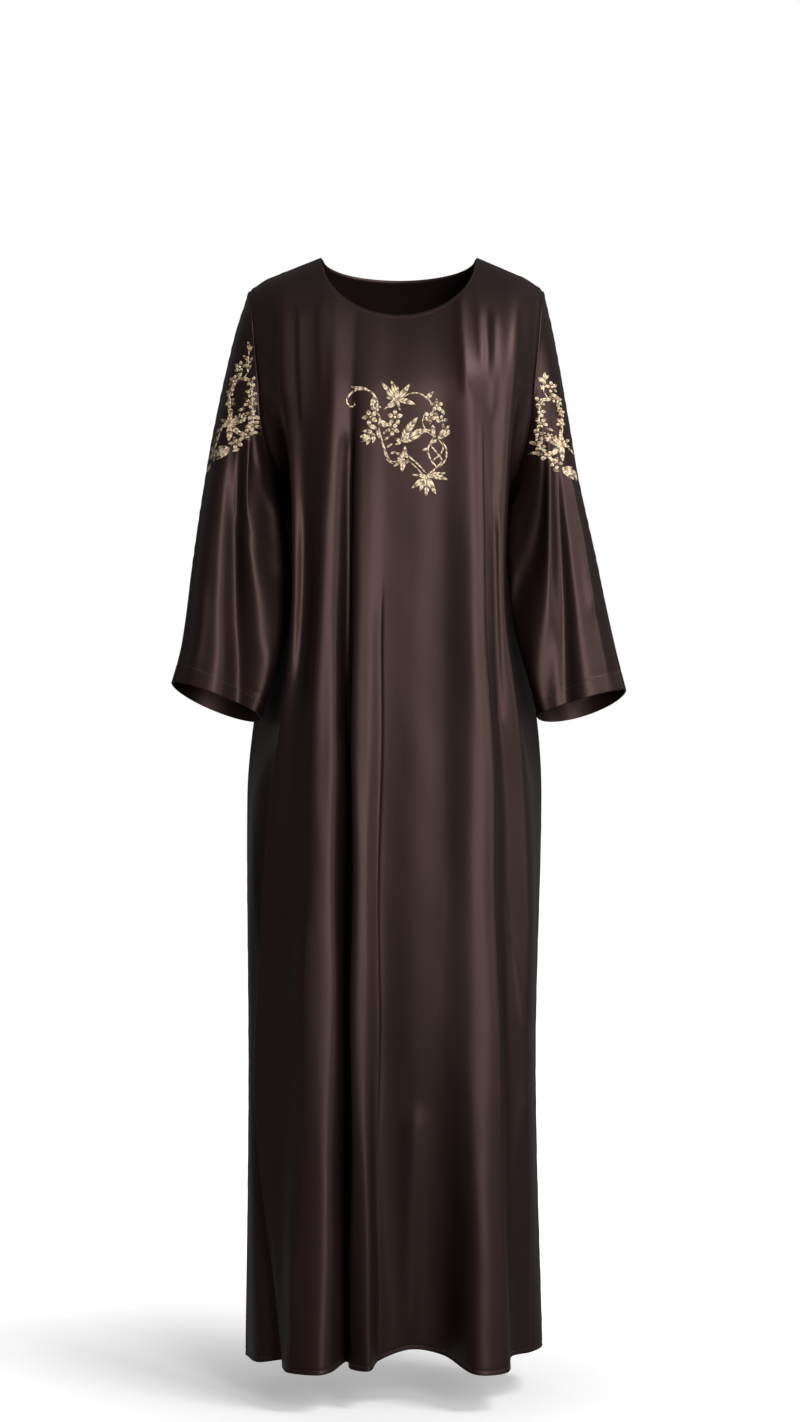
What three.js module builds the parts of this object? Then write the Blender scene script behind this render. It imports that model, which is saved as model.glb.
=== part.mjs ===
// A floor-length pullover abaya of smooth satin, as it hangs when worn: front, back and two
// wide sleeves, each sleeve cut in a front and a back half.
// Millimetres, +Z up. The front faces -Y and the wearer's left is +X.
// The origin lies midway between the two neck points of the shoulders, which carry the garment.

import * as THREE from "three";

// Cloth
const wall = 2;
const seamGap = 0.3;

// Neck and shoulders
const neckHalf = 100;
const neckFrontDrop = 84;
const neckBackDrop = 24;
const neckRise = 10;
const shoulder = { right: { tip: 193, slope: 0.4 }, left: { tip: 186, slope: 0.43 } };
const shoulderRound = 0.013;

// Grid: how finely each piece is divided
const cells = { front: 3, back: 4 };
const shoulderRows = 6;
const armholeRows = 5;
const skirtRows = 12;
const sleeveRows = 14;

// The heights at which the sections are given
const bustZ = -176;
const underarmZ = -300;
const hemZ = -1425;

// Turns a list of column names and rows into a list of records.
function table(columns, rows) {
  return rows.map((row) => Object.fromEntries(columns.map((name, i) => [name, row[i]])));
}

// Plain sections of the body. front and back are the depths on the centre line, fall is how much
// shallower the section is at its corners, seam is the side seam, and strip is the cloth between
// the side seam and the front corner, on the wearer's right (R) and left (L).
const sections = table(
  ["z", "front", "back", "fall", "seamR", "seamL", "seamY", "stripR", "stripRY", "stripL", "stripLY"],
  [
    [-176, 128, 104, 26, -179, 172, 2, -167, -84, 160, -84],
    [-300, 124, 108, 28, -151, 147, 5, -141, -46, 139, -46],
    [-470, 121, 104, 30, -167, 160, 12, -136, -46, 136, -46],
    [-600, 119, 110, 32, -189, 180, 17, -156, -42, 155, -42],
    [-700, 118, 118, 34, -198, 186, 18, -184, -34, 175, -36],
    [-1050, 118, 126, 36, -196, 178, 15, -192, -36, 174, -36],
    [-1425, 115, 132, 34, -200, 187, 8, -180, -52, 182, -14],
  ],
);

// How far the hem is lifted at the side seams and the strips beside them.
const seamLift = { right: -3, left: 9 };
const stripLift = { right: -2, left: 9 };

// The fold lines of the front, from the wearer's right to the left. top is where the line
// reaches the shoulder seam or the neckline. The next columns are its place from side to side
// at each height, then how far it stands out of the plain section, then the lift of the hem.
const foldColumns = [
  "line", "top", "x176", "x300", "x470", "x670", "x1050", "x1425",
  "out176", "out470", "out670", "out1050", "out1425", "lift",
];
const foldHeights = [-176, -300, -470, -670, -1050, -1425];
const outHeights = [-176, -470, -670, -1050, -1425];
const frontFolds = table(foldColumns, [
  ["right tuck", -160, -156, -137, -133, -157, -179, -146, -8, -26, -22, -9, -31, 3],
  ["right corner", -150, -147, -137, -136, -160, -183, -149, 0, 0, 0, 3, -4, 0],
  ["right hollow", -128, -121, -118, -112, -131, -146, -147, -2, -6, 3, 5, 17, 0],
  ["fold A edge", -100, -92, -97, -103, -111, -122, -139, 0, 12, 17, 26, 40, 0],
  ["fold A", -84, -84, -88, -91, -93, -93, -99, 2, 11, 15, 23, 43, 0],
  ["fold A side", -75, -75, -79, -80, -80, -80, -86, 1, 7, 10, 15, 33, 2],
  ["deep hollow", -53, -57, -59, -61, -62, -63, -66, -1, -9, -22, -36, -34, 4],
  ["pipe B edge", -50, -53, -56, -58, -59, -60, -62, 0, 7, 12, 16, -5, 0],
  ["pipe B", -30, -34, -38, -40, -41, -41, -37, 1, 8, 13, 17, 10, 0],
  ["pipe B foot", -8, -12, -16, -21, -24, -27, -25, 0, 5, 8, 9, -22, 8],
  ["centre", 18, 26, 25, 22, 20, 18, 15, 0, 6, 8, 6, -42, 20],
  ["soft hollow", 52, 58, 57, 57, 58, 58, 54, -1, 6, 8, 5, -34, 14],
  ["fold C", 84, 90, 92, 94, 95, 95, 97, 2, 16, 20, 27, 40, 0],
  ["fold C edge", 100, 104, 106, 109, 118, 127, 136, 0, 15, 20, 28, 38, 0],
  ["left hollow", 126, 121, 117, 121, 132, 140, 145, -2, 7, 8, 5, -30, 8],
  ["left corner", 150, 144, 137, 134, 161, 165, 168, 0, 5, 6, 3, -43, 8],
]);

// The fold lines of the back, from the wearer's right to the left, in the same columns.
const backFolds = table(foldColumns, [
  ["right side", -160, -152, -142, -142, -184, -187, -190, 0, 0, 0, 0, 2, -4],
  ["fold 1", -130, -124, -116, -116, -138, -144, -148, 1, 4, 7, 12, 18, -6],
  ["hollow 1", -100, -95, -92, -92, -98, -104, -106, -1, -4, -8, -15, -21, 0],
  ["fold 2 edge", -82, -76, -74, -74, -78, -84, -88, 0, 3, 5, 8, 10, -6],
  ["fold 2", -62, -57, -55, -54, -54, -56, -58, 1, 5, 9, 15, 22, -7],
  ["hollow 2", -34, -29, -26, -22, -14, -12, -12, -1, -5, -9, -17, -26, 0],
  ["fold 3", 4, 8, 12, 16, 24, 26, 28, 1, 5, 9, 16, 21, -6],
  ["fold 3 edge", 24, 28, 31, 34, 44, 50, 56, 0, 3, 5, 9, 13, -6],
  ["hollow 3", 52, 52, 53, 54, 62, 70, 76, -1, -4, -7, -14, -22, 1],
  ["fold 4", 78, 76, 75, 76, 88, 96, 103, 1, 4, 8, 15, 23, -7],
  ["hollow 4", 100, 97, 93, 94, 112, 122, 131, -1, -3, -6, -10, -12, -3],
  ["left side", 156, 148, 136, 134, 170, 166, 172, 0, 1, 2, 3, 6, -8],
]);

// Where the armhole is widest, at bust height: how far its edge lies in front and behind.
const armholeFront = -62;
const armholeBack = 64;

// The two sleeves at the cuff. outer and inner are the ends of the cuff, front and back the
// middles of its two halves.
const cuffs = {
  right: { outer: [-294, -34, -554], inner: [-176, -32, -600], front: [-234, -86, -568], back: [-236, 12, -592] },
  left: { outer: [293, -34, -563], inner: [178, -32, -596], front: [235, -86, -574], back: [237, 12, -598] },
};
const cuffSeamTurn = 26;

// How far the outer line of each sleeve leaves the straight line from shoulder to cuff.
const bowHeights = [0, -0.12, -0.3, -0.5, -0.7, -0.9, -1];
const bows = { right: [0, 8, 12, 10, 5, -3, 0], left: [0, 2, 0, -3, -2, -2, 0] };

// The folds of the front half of each sleeve. around runs from the outer seam (0) to the
// underarm seam (1), at the armhole and at the cuff; rise is forward, reach is towards the body.
const sleeveFoldColumns = ["fold", "aroundTop", "aroundCuff", "width", "rise", "reach"];
const sleeveFolds = {
  right: table(sleeveFoldColumns, [
    ["outer ridge", 0.15, 0.17, 0.1, 4, 0],
    ["hollow", 0.2, 0.57, 0.1, -11, 0],
    ["inner ridge", 0.45, 0.85, 0.1, 8, 0],
    ["inner edge", 0.82, 0.82, 0.14, 0, 34],
  ]),
  left: table(sleeveFoldColumns, [
    ["outer hollow", 0.28, 0.54, 0.08, -8, 0],
    ["ridge", 0.26, 0.94, 0.1, 9, 0],
    ["inner hollow", 0.25, 1.2, 0.08, -6, 0],
    ["inner edge", 0.82, 0.82, 0.14, 7, 26],
  ]),
};

// A smooth curve through values given at falling heights.
function along(heights, values, z) {
  const last = heights.length - 1;
  if (z >= heights[0]) return values[0];
  if (z <= heights[last]) return values[last];
  const i = heights.findIndex((height, k) => k < last && z <= height && z > heights[k + 1]);
  const slope = (k) => {
    const a = Math.max(k - 1, 0);
    const b = Math.min(k + 1, last);
    return (values[b] - values[a]) / (heights[b] - heights[a]);
  };
  const span = heights[i + 1] - heights[i];
  const t = (z - heights[i]) / span;
  return values[i] * (2 * t ** 3 - 3 * t ** 2 + 1)
    + values[i + 1] * (3 * t ** 2 - 2 * t ** 3)
    + slope(i) * span * (t ** 3 - 2 * t ** 2 + t)
    + slope(i + 1) * span * (t ** 3 - t ** 2);
}

function section(name, z) {
  return along(sections.map((row) => row.z), sections.map((row) => row[name]), z);
}

function foldPlace(row, z) {
  return along(foldHeights, foldHeights.map((height) => row[`x${-height}`]), z);
}

function foldOut(row, z) {
  return along(outHeights, outHeights.map((height) => row[`out${-height}`]), z);
}

// The edge of a panel at a height: the side seam, or above the underarm the armhole.
function edge(face, side, z) {
  const name = side < 0 ? "seamR" : "seamL";
  if (z <= underarmZ) return [section(name, z), section("seamY", z) + face * seamGap / 2];
  const turn = Math.asin((bustZ - z) / (bustZ - underarmZ));
  const widest = face < 0 ? armholeFront : armholeBack;
  const spare = section(name, bustZ) - section(name, underarmZ);
  const x = section(name, underarmZ) + spare * Math.cos(turn) ** 2;
  const low = section("seamY", underarmZ) + face * seamGap / 2;
  return [x, low + (widest - low) * Math.cos(turn)];
}

// The knots of a panel's section at a height. The height may differ from knot to knot.
function knots(face, heightOf) {
  const folds = face < 0 ? frontFolds : backFolds;
  const depth = face < 0 ? "front" : "back";
  const points = [];
  const put = (x, y, z) => points.push(new THREE.Vector3(x, y, z));
  const count = folds.length + (face < 0 ? 4 : 2);
  const z = (k) => heightOf(k, count);
  put(...edge(face, -1, z(0)), z(0));
  if (face < 0) put(section("stripR", z(1)), section("stripRY", z(1)), z(1));
  for (const row of folds) {
    const height = z(points.length);
    const x = foldPlace(row, height);
    const plain = section(depth, height) - section("fall", height) * (Math.abs(x) / 165) ** 3;
    put(x, face * (plain + foldOut(row, height)), height);
  }
  const next = z(count - 2);
  if (face < 0) put(section("stripL", next), section("stripLY", next), next);
  put(...edge(face, 1, z(count - 1)), z(count - 1));
  return points;
}

// Points along a section, the same number to each space between knots.
function across(points, face) {
  const curve = new THREE.CatmullRomCurve3(points, false, "centripetal");
  return curve.getPoints((face < 0 ? cells.front : cells.back) * (points.length - 1));
}

// Values given at the knots, spread over the points of a section.
function spread(values, face) {
  const each = face < 0 ? cells.front : cells.back;
  const result = [];
  for (let k = 0; k + 1 < values.length; k++) {
    for (let c = 0; c < each; c++) {
      result.push(values[k] + (values[k + 1] - values[k]) * c / each);
    }
  }
  return [...result, values[values.length - 1]];
}

function ridgeHeight(x) {
  const { tip, slope } = x < 0 ? shoulder.right : shoulder.left;
  const past = Math.max(Math.abs(x) - neckHalf, 0);
  const round = Math.max(Math.abs(x) - tip + 25, 0);
  const inside = Math.min(Math.abs(x) / neckHalf, 1);
  return neckRise * (1 - inside ** 2) - slope * past - shoulderRound * round ** 2;
}

// The line of one column from bust height up to the neckline or the shoulder seam, over the
// chest or the shoulder blade: a quarter of an ellipse, squarer at the shoulder's end.
function overShoulder(face, start, topX) {
  const drop = face < 0 ? neckFrontDrop : neckBackDrop;
  const ridge = ridgeHeight(topX);
  const outward = (topX / shoulder.left.tip) ** 2;
  const power = face < 0 ? 1.22 + 0.78 * outward : 1.8 + 0.2 * outward;
  const open = Math.abs(topX) < neckHalf - 0.01;
  const neckline = -drop * Math.sqrt(Math.max(1 - (topX / neckHalf) ** 2, 0));
  const end = open ? Math.asin(((neckline - bustZ) / (ridge - bustZ)) ** (power / 2)) : Math.PI / 2;
  const fine = [];
  for (let k = 0; k <= 40; k++) {
    const turn = end * k / 40;
    const up = Math.sin(turn) ** (2 / power);
    const z = bustZ + (ridge - bustZ) * up;
    const share = (z - bustZ) / ((open ? neckline : ridge) - bustZ);
    const y = face * seamGap / 2 + (start.y - face * seamGap / 2) * Math.cos(turn) ** (2 / power);
    fine.push(new THREE.Vector3(start.x + (topX - start.x) * share, y, z));
  }
  return evenly(fine, shoulderRows);
}

// A polyline divided again in equal steps.
function evenly(points, steps) {
  const run = [0];
  for (let k = 1; k < points.length; k++) run.push(run[k - 1] + points[k].distanceTo(points[k - 1]));
  const total = run[run.length - 1];
  const result = [];
  for (let s = 0; s <= steps; s++) {
    const want = total * s / steps;
    let k = run.findIndex((value) => value >= want - 1e-9);
    k = Math.max(k, 1);
    const t = (want - run[k - 1]) / Math.max(run[k] - run[k - 1], 1e-9);
    result.push(points[k - 1].clone().lerp(points[k], Math.min(Math.max(t, 0), 1)));
  }
  return result;
}

// A panel as rows of points from the hem up to the neckline and shoulder seams.
function panelRows(face) {
  const folds = face < 0 ? frontFolds : backFolds;
  const starts = face < 0 ? [seamLift.right, stripLift.right] : [seamLift.right];
  const ends = face < 0 ? [stripLift.left, seamLift.left] : [seamLift.left];
  const lifts = [...starts, ...folds.map((row) => row.lift), ...ends];
  const rows = [];
  for (let r = skirtRows; r > 0; r--) {
    const share = r / skirtRows;
    rows.push(across(knots(face, (k) => underarmZ + (hemZ + lifts[k] - underarmZ) * share), face));
  }
  for (let r = armholeRows; r > 0; r--) {
    const z = bustZ + (underarmZ - bustZ) * Math.sin(Math.PI / 2 * r / armholeRows);
    rows.push(across(knots(face, () => z), face));
  }
  const bust = across(knots(face, () => bustZ), face);
  const middle = face < 0 ? [172] : [];
  const tops = spread([-shoulder.right.tip, ...middle.map((x) => -x), ...folds.map((row) => row.top),
    ...middle, shoulder.left.tip], face);
  const lines = bust.map((point, i) => overShoulder(face, point, tops[i]));
  for (let r = 0; r <= shoulderRows; r++) rows.push(lines.map((line) => line[r]));
  return rows;
}

// The directions out of the cloth at each point of a grid. A tube's rows close on themselves.
function gridNormals(rows, flip, closed) {
  const width = rows[0].length;
  const beside = (c, step) => (closed ? (c + step + width) % width
    : Math.min(Math.max(c + step, 0), width - 1));
  return rows.map((row, r) => row.map((point, c) => {
    const up = rows[Math.min(r + 1, rows.length - 1)][c].clone().sub(rows[Math.max(r - 1, 0)][c]);
    const side = row[beside(c, 1)].clone().sub(row[beside(c, -1)]);
    return side.cross(up).normalize().multiplyScalar(flip);
  }));
}

// A wall of cloth: a grid of outer points and the same grid moved in by the wall. limits keeps
// the inner points of an edge from passing the plane of its seam.
function clothWall(rows, normals, flip, limits) {
  const height = rows.length;
  const width = rows[0].length;
  const position = [];
  const index = [];
  rows.forEach((row) => row.forEach((point) => position.push(point.x, point.y, point.z)));
  rows.forEach((row, r) => row.forEach((point, c) => {
    const inward = normals[r][c].clone().multiplyScalar(-wall);
    for (const away of limits(r, c)) {
      const past = inward.dot(away);
      if (past < 0) inward.addScaledVector(away, -past);
    }
    if (inward.length() < wall * 0.6) inward.setLength(wall * 0.6);
    const inner = point.clone().add(inward);
    position.push(inner.x, inner.y, inner.z);
  }));
  const outer = (r, c) => r * width + c;
  const inner = (r, c) => (height + r) * width + c;
  const quad = (a, b, c, d) => index.push(a, b, c, a, c, d);
  for (let r = 0; r + 1 < height; r++) {
    for (let c = 0; c + 1 < width; c++) {
      quad(outer(r, c), outer(r, c + 1), outer(r + 1, c + 1), outer(r + 1, c));
      quad(inner(r, c), inner(r + 1, c), inner(r + 1, c + 1), inner(r, c + 1));
    }
    quad(outer(r, 0), outer(r + 1, 0), inner(r + 1, 0), inner(r, 0));
    quad(outer(r + 1, width - 1), outer(r, width - 1), inner(r, width - 1), inner(r + 1, width - 1));
  }
  for (let c = 0; c + 1 < width; c++) {
    quad(outer(0, c + 1), outer(0, c), inner(0, c), inner(0, c + 1));
    quad(outer(height - 1, c), outer(height - 1, c + 1), inner(height - 1, c + 1), inner(height - 1, c));
  }
  if (flip < 0) {
    for (let k = 0; k < index.length; k += 3) [index[k], index[k + 1]] = [index[k + 1], index[k]];
  }
  const geometry = new THREE.BufferGeometry();
  geometry.setAttribute("position", new THREE.Float32BufferAttribute(position, 3));
  geometry.setIndex(index);
  geometry.computeVertexNormals();
  return geometry;
}

const frontRows = panelRows(-1);
const backRows = panelRows(1);

// The armhole edge of a panel, from the shoulder tip down to the underarm.
function armholeEdge(rows, side) {
  const column = side < 0 ? 0 : rows[0].length - 1;
  return rows.slice(skirtRows).map((row) => row[column]).reverse();
}

// A whole sleeve as closed rows of points from the cuff up to the armhole. Each row runs from
// the outer seam over the front to the underarm seam and back behind the arm.
function sleeveRings(side) {
  const name = side < 0 ? "right" : "left";
  const cuff = cuffs[name];
  const [outer, inner, front, back] = [cuff.outer, cuff.inner, cuff.front, cuff.back]
    .map((place) => new THREE.Vector3(...place));
  const centre = outer.clone().add(inner).multiplyScalar(0.5);
  const edges = [armholeEdge(frontRows, side), armholeEdge(backRows, side)];
  const steps = edges[0].length - 1;
  const seamTurn = cuffSeamTurn * Math.PI / 180;
  const rows = [];
  for (let r = sleeveRows; r >= 0; r--) {
    const down = r / sleeveRows;
    const row = [];
    for (let k = 0; k < 2 * steps; k++) {
      const face = k <= steps ? -1 : 1;
      const around = k <= steps ? k / steps : (2 * steps - k) / steps;
      const turn = face < 0 ? seamTurn + (Math.PI - seamTurn) * around
        : seamTurn - (Math.PI + seamTurn) * around;
      const middle = turn > 0 ? front : back;
      const low = centre.clone()
        .addScaledVector(outer.clone().sub(centre), Math.cos(turn))
        .addScaledVector(middle.clone().sub(centre), Math.abs(Math.sin(turn)));
      const point = edges[face < 0 ? 0 : 1][Math.round(around * steps)].clone();
      if (k === 0 || k === steps) point.y += seamGap / 2;
      point.x += side * seamGap * 1.3;
      point.lerp(low, down);
      point.x += side * along(bowHeights, bows[name], -down) * (1 - around);
      if (face < 0) foldSleeve(point, side, name, around, down);
      row.push(point);
    }
    rows.push(row);
  }
  return rows;
}

// One half of a sleeve: its columns of the rings, parted from the other half at both seams.
function sleeveHalf(side, face) {
  const rings = sleeveRings(side);
  const count = rings[0].length;
  const steps = count / 2;
  const flip = -side;
  const normals = gridNormals(rings, flip, true);
  const columns = Array.from({ length: steps + 1 }, (_, k) => (face < 0 ? k : (steps + k) % count));
  const tangents = rings.map((ring) => ring.map((point, k) => {
    return ring[(k + 1) % count].clone().sub(ring[(k + count - 1) % count]).normalize();
  }));
  const rows = rings.map((ring, r) => columns.map((k, c) => {
    const point = ring[k].clone();
    if (c === 0) point.addScaledVector(tangents[r][k], seamGap / 2);
    if (c === steps) point.addScaledVector(tangents[r][k], -seamGap / 2);
    return point;
  }));
  const limits = (r, c) => {
    const list = [];
    if (c === 0) list.push(tangents[r][columns[c]]);
    if (c === steps) list.push(tangents[r][columns[c]].clone().negate());
    if (r === sleeveRows) list.push(new THREE.Vector3(side, 0, 0));
    return list;
  };
  return clothWall(rows, normals.map((row) => columns.map((k) => row[k])), flip, limits);
}

function foldSleeve(point, side, name, around, down) {
  for (const fold of sleeveFolds[name]) {
    const place = fold.aroundTop + (fold.aroundCuff - fold.aroundTop) * down;
    const share = Math.exp(-(((around - place) / fold.width) ** 2));
    const grow = Math.sin(Math.PI / 2 * Math.min(down / 0.6, 1)) ** 2;
    const swell = Math.sin(Math.PI * down ** 1.15);
    point.y -= fold.rise * share * grow;
    point.x -= side * fold.reach * share * swell;
  }
}

function piece(name, geometry, colour) {
  const finish = { color: colour, roughness: 0.42, metalness: 0, side: THREE.DoubleSide };
  const mesh = new THREE.Mesh(geometry, new THREE.MeshStandardMaterial(finish));
  mesh.name = name;
  return mesh;
}

// Which way the inner points of a panel's edges may move: not past the plane of a seam.
function panelLimits(face) {
  const own = new THREE.Vector3(0, face, 0);
  return (rows) => (r, c) => {
    const list = [];
    const side = c === 0 ? -1 : c === rows[0].length - 1 ? 1 : 0;
    if (side !== 0 && r >= skirtRows) list.push(new THREE.Vector3(-side, 0, 0));
    if (side !== 0 && r <= skirtRows) list.push(own);
    if (r === rows.length - 1) list.push(own);
    return list;
  };
}

function panel(face) {
  const rows = face < 0 ? frontRows : backRows;
  return clothWall(rows, gridNormals(rows, -face, false), -face, panelLimits(face)(rows));
}

const abaya = new THREE.Group();
abaya.add(piece("front_panel", panel(-1), 0x3b2c2b));
abaya.add(piece("back_panel", panel(1), 0x3b2c2b));
abaya.add(piece("right_sleeve_front", sleeveHalf(-1, -1), 0x3b2c2b));
abaya.add(piece("right_sleeve_back", sleeveHalf(-1, 1), 0x3b2c2b));
abaya.add(piece("left_sleeve_front", sleeveHalf(1, -1), 0x3b2c2b));
abaya.add(piece("left_sleeve_back", sleeveHalf(1, 1), 0x3b2c2b));

export default abaya;
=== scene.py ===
"""The looks of a floor-length pullover abaya of dark brown satin, as it hangs when worn.

Sizes are in millimetres until a mesh is made, and in metres after that. The front faces -Y,
the wearer's left is +X, and the origin lies between the two neck points of the shoulders."""

import math

import bmesh
import bpy
import numpy as np
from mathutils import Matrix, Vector
from mathutils.bvhtree import BVHTree


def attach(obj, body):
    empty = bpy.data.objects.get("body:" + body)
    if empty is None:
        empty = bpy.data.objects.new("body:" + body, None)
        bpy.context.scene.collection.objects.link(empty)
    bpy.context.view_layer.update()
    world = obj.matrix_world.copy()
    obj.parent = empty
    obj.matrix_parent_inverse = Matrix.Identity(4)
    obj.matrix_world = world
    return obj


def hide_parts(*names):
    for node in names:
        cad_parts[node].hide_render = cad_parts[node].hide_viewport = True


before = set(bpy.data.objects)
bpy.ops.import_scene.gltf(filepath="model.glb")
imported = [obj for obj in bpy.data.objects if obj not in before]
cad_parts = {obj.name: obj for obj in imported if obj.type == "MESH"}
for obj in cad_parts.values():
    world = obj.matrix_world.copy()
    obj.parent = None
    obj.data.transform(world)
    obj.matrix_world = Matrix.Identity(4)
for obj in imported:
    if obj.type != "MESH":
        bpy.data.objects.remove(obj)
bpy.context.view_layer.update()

# Cloth
CLOTH = 0.8
HEM_CLOTH = 2.0
SEAM_GAP = 0.3
SEAM_TUCK = 0.8

# Neck and shoulders
NECK_HALF = 100
NECK_FRONT_DROP = 84
NECK_BACK_DROP = 24
NECK_RISE = 10
SHOULDER = {"right": (193, 0.4), "left": (186, 0.43)}
SHOULDER_ROUND = 0.013

# Heights
BUST_Z = -176
UNDERARM_Z = -300
HEM_Z = -1425

# How finely each piece is divided
FRONT_CELLS = 14
BACK_CELLS = 19
COLUMN_EASE = 0.55
SHOULDER_ROWS = 36
ARMHOLE_ROWS = 30
SKIRT_ROWS = 90
SLEEVE_ROWS = 104
HEM_LINES = [0, 1.5, 4, 5.5, 7, 9, 11]
CUFF_LINES = [0, 1.5, 22.5, 24, 25.5, 27]

# The turned edges: how far each is turned, where its stitching runs, and its thread.
HEM_TURNED = 8
HEM_SEAM = 5.5
NECK_SEAM = 6
CUFF_TURNED = 27
CUFF_SEAM = 24
THREAD_THICK = 0.5


def table(columns, rows):
    """Rows of numbers as records with named columns."""
    return [dict(zip(columns, row)) for row in rows]


# Plain sections of the body: the depths on the centre line, how much shallower the corners
# are, the side seams, and the strips between the side seams and the front corners.
SECTIONS = table(
    ["z", "front", "back", "fall", "seamR", "seamL", "seamY", "stripR", "stripRY", "stripL", "stripLY"],
    [
        [-176, 128, 104, 26, -179, 172, 2, -167, -84, 160, -84],
        [-300, 124, 108, 28, -151, 147, 5, -141, -46, 139, -46],
        [-470, 121, 104, 30, -167, 160, 12, -136, -46, 136, -46],
        [-600, 119, 110, 32, -189, 180, 17, -156, -42, 155, -42],
        [-700, 118, 118, 34, -198, 186, 18, -184, -34, 175, -36],
        [-1050, 118, 126, 36, -196, 178, 15, -192, -36, 174, -36],
        [-1425, 115, 132, 34, -200, 187, 8, -180, -52, 182, -14],
    ],
)
SEAM_LIFT = {-1: -3, 1: 9}
STRIP_LIFT = {-1: -2, 1: 9}
STRIP_TOP = 172

# The fold lines, from the wearer's right to the left: where each reaches the shoulder seam or
# the neckline, its place at each height, how far it stands out, and the lift of the hem.
FOLD_COLUMNS = [
    "line", "top", "x176", "x300", "x470", "x670", "x1050", "x1425",
    "out176", "out470", "out670", "out1050", "out1425", "lift",
]
FOLD_HEIGHTS = [176, 300, 470, 670, 1050, 1425]
OUT_HEIGHTS = [176, 470, 670, 1050, 1425]
FRONT_FOLDS = table(FOLD_COLUMNS, [
    ["right tuck", -160, -156, -137, -133, -157, -179, -146, -8, -26, -22, -9, -31, 3],
    ["right corner", -150, -147, -137, -136, -160, -183, -149, 0, 0, 0, 3, -4, 0],
    ["right hollow", -128, -121, -120, -117, -135, -146, -147, -2, -6, 3, 5, 17, 0],
    ["fold A edge", -100, -92, -97, -103, -111, -122, -139, 0, 12, 17, 26, 40, 0],
    ["fold A", -84, -84, -88, -91, -93, -93, -99, 2, 11, 15, 23, 43, 0],
    ["fold A side", -75, -75, -79, -80, -80, -80, -86, 1, 7, 10, 15, 33, 2],
    ["deep hollow", -53, -57, -59, -61, -62, -63, -66, -1, -9, -22, -36, -34, 4],
    ["pipe B edge", -50, -53, -56, -58, -59, -60, -62, 0, 7, 12, 16, -5, 0],
    ["pipe B", -30, -34, -38, -40, -41, -41, -37, 1, 8, 13, 17, 10, 0],
    ["pipe B foot", -8, -12, -16, -21, -24, -27, -25, 0, 5, 8, 6, -22, 8],
    ["centre", 18, 26, 25, 22, 20, 18, 15, 0, 5, 9, 9, -36, 20],
    ["soft hollow", 52, 58, 57, 57, 58, 58, 54, -1, 6, 10, 13, -32, 14],
    ["fold C", 84, 90, 92, 94, 95, 95, 97, 2, 16, 20, 27, 40, 0],
    ["fold C edge", 100, 104, 106, 109, 118, 127, 136, 0, 15, 20, 28, 38, 0],
    ["left hollow", 126, 121, 117, 121, 132, 140, 145, -2, 7, 8, 5, -30, 8],
    ["left corner", 150, 144, 137, 134, 161, 165, 168, 0, 5, 6, 3, -43, 8],
])
BACK_FOLDS = table(FOLD_COLUMNS, [
    ["right side", -160, -152, -142, -142, -184, -187, -190, 0, 0, 0, 0, 2, -4],
    ["fold 1", -130, -124, -116, -116, -138, -144, -148, 1, 4, 7, 12, 18, -6],
    ["hollow 1", -100, -95, -92, -92, -98, -104, -106, -1, -4, -8, -15, -21, 0],
    ["fold 2 edge", -82, -76, -74, -74, -78, -84, -88, 0, 3, 5, 8, 10, -6],
    ["fold 2", -62, -57, -55, -54, -54, -56, -58, 1, 5, 9, 15, 22, -7],
    ["hollow 2", -34, -29, -26, -22, -14, -12, -12, -1, -5, -9, -17, -26, 0],
    ["fold 3", 4, 8, 12, 16, 24, 26, 28, 1, 5, 9, 16, 21, -6],
    ["fold 3 edge", 24, 28, 31, 34, 44, 50, 56, 0, 3, 5, 9, 13, -6],
    ["hollow 3", 52, 52, 53, 54, 62, 70, 76, -1, -4, -7, -14, -22, 1],
    ["fold 4", 78, 76, 75, 76, 88, 96, 103, 1, 4, 8, 15, 23, -7],
    ["hollow 4", 100, 97, 93, 94, 112, 122, 131, -1, -3, -6, -10, -12, -3],
    ["left side", 156, 148, 136, 134, 170, 166, 172, 0, 1, 2, 3, 6, -8],
])

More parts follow.
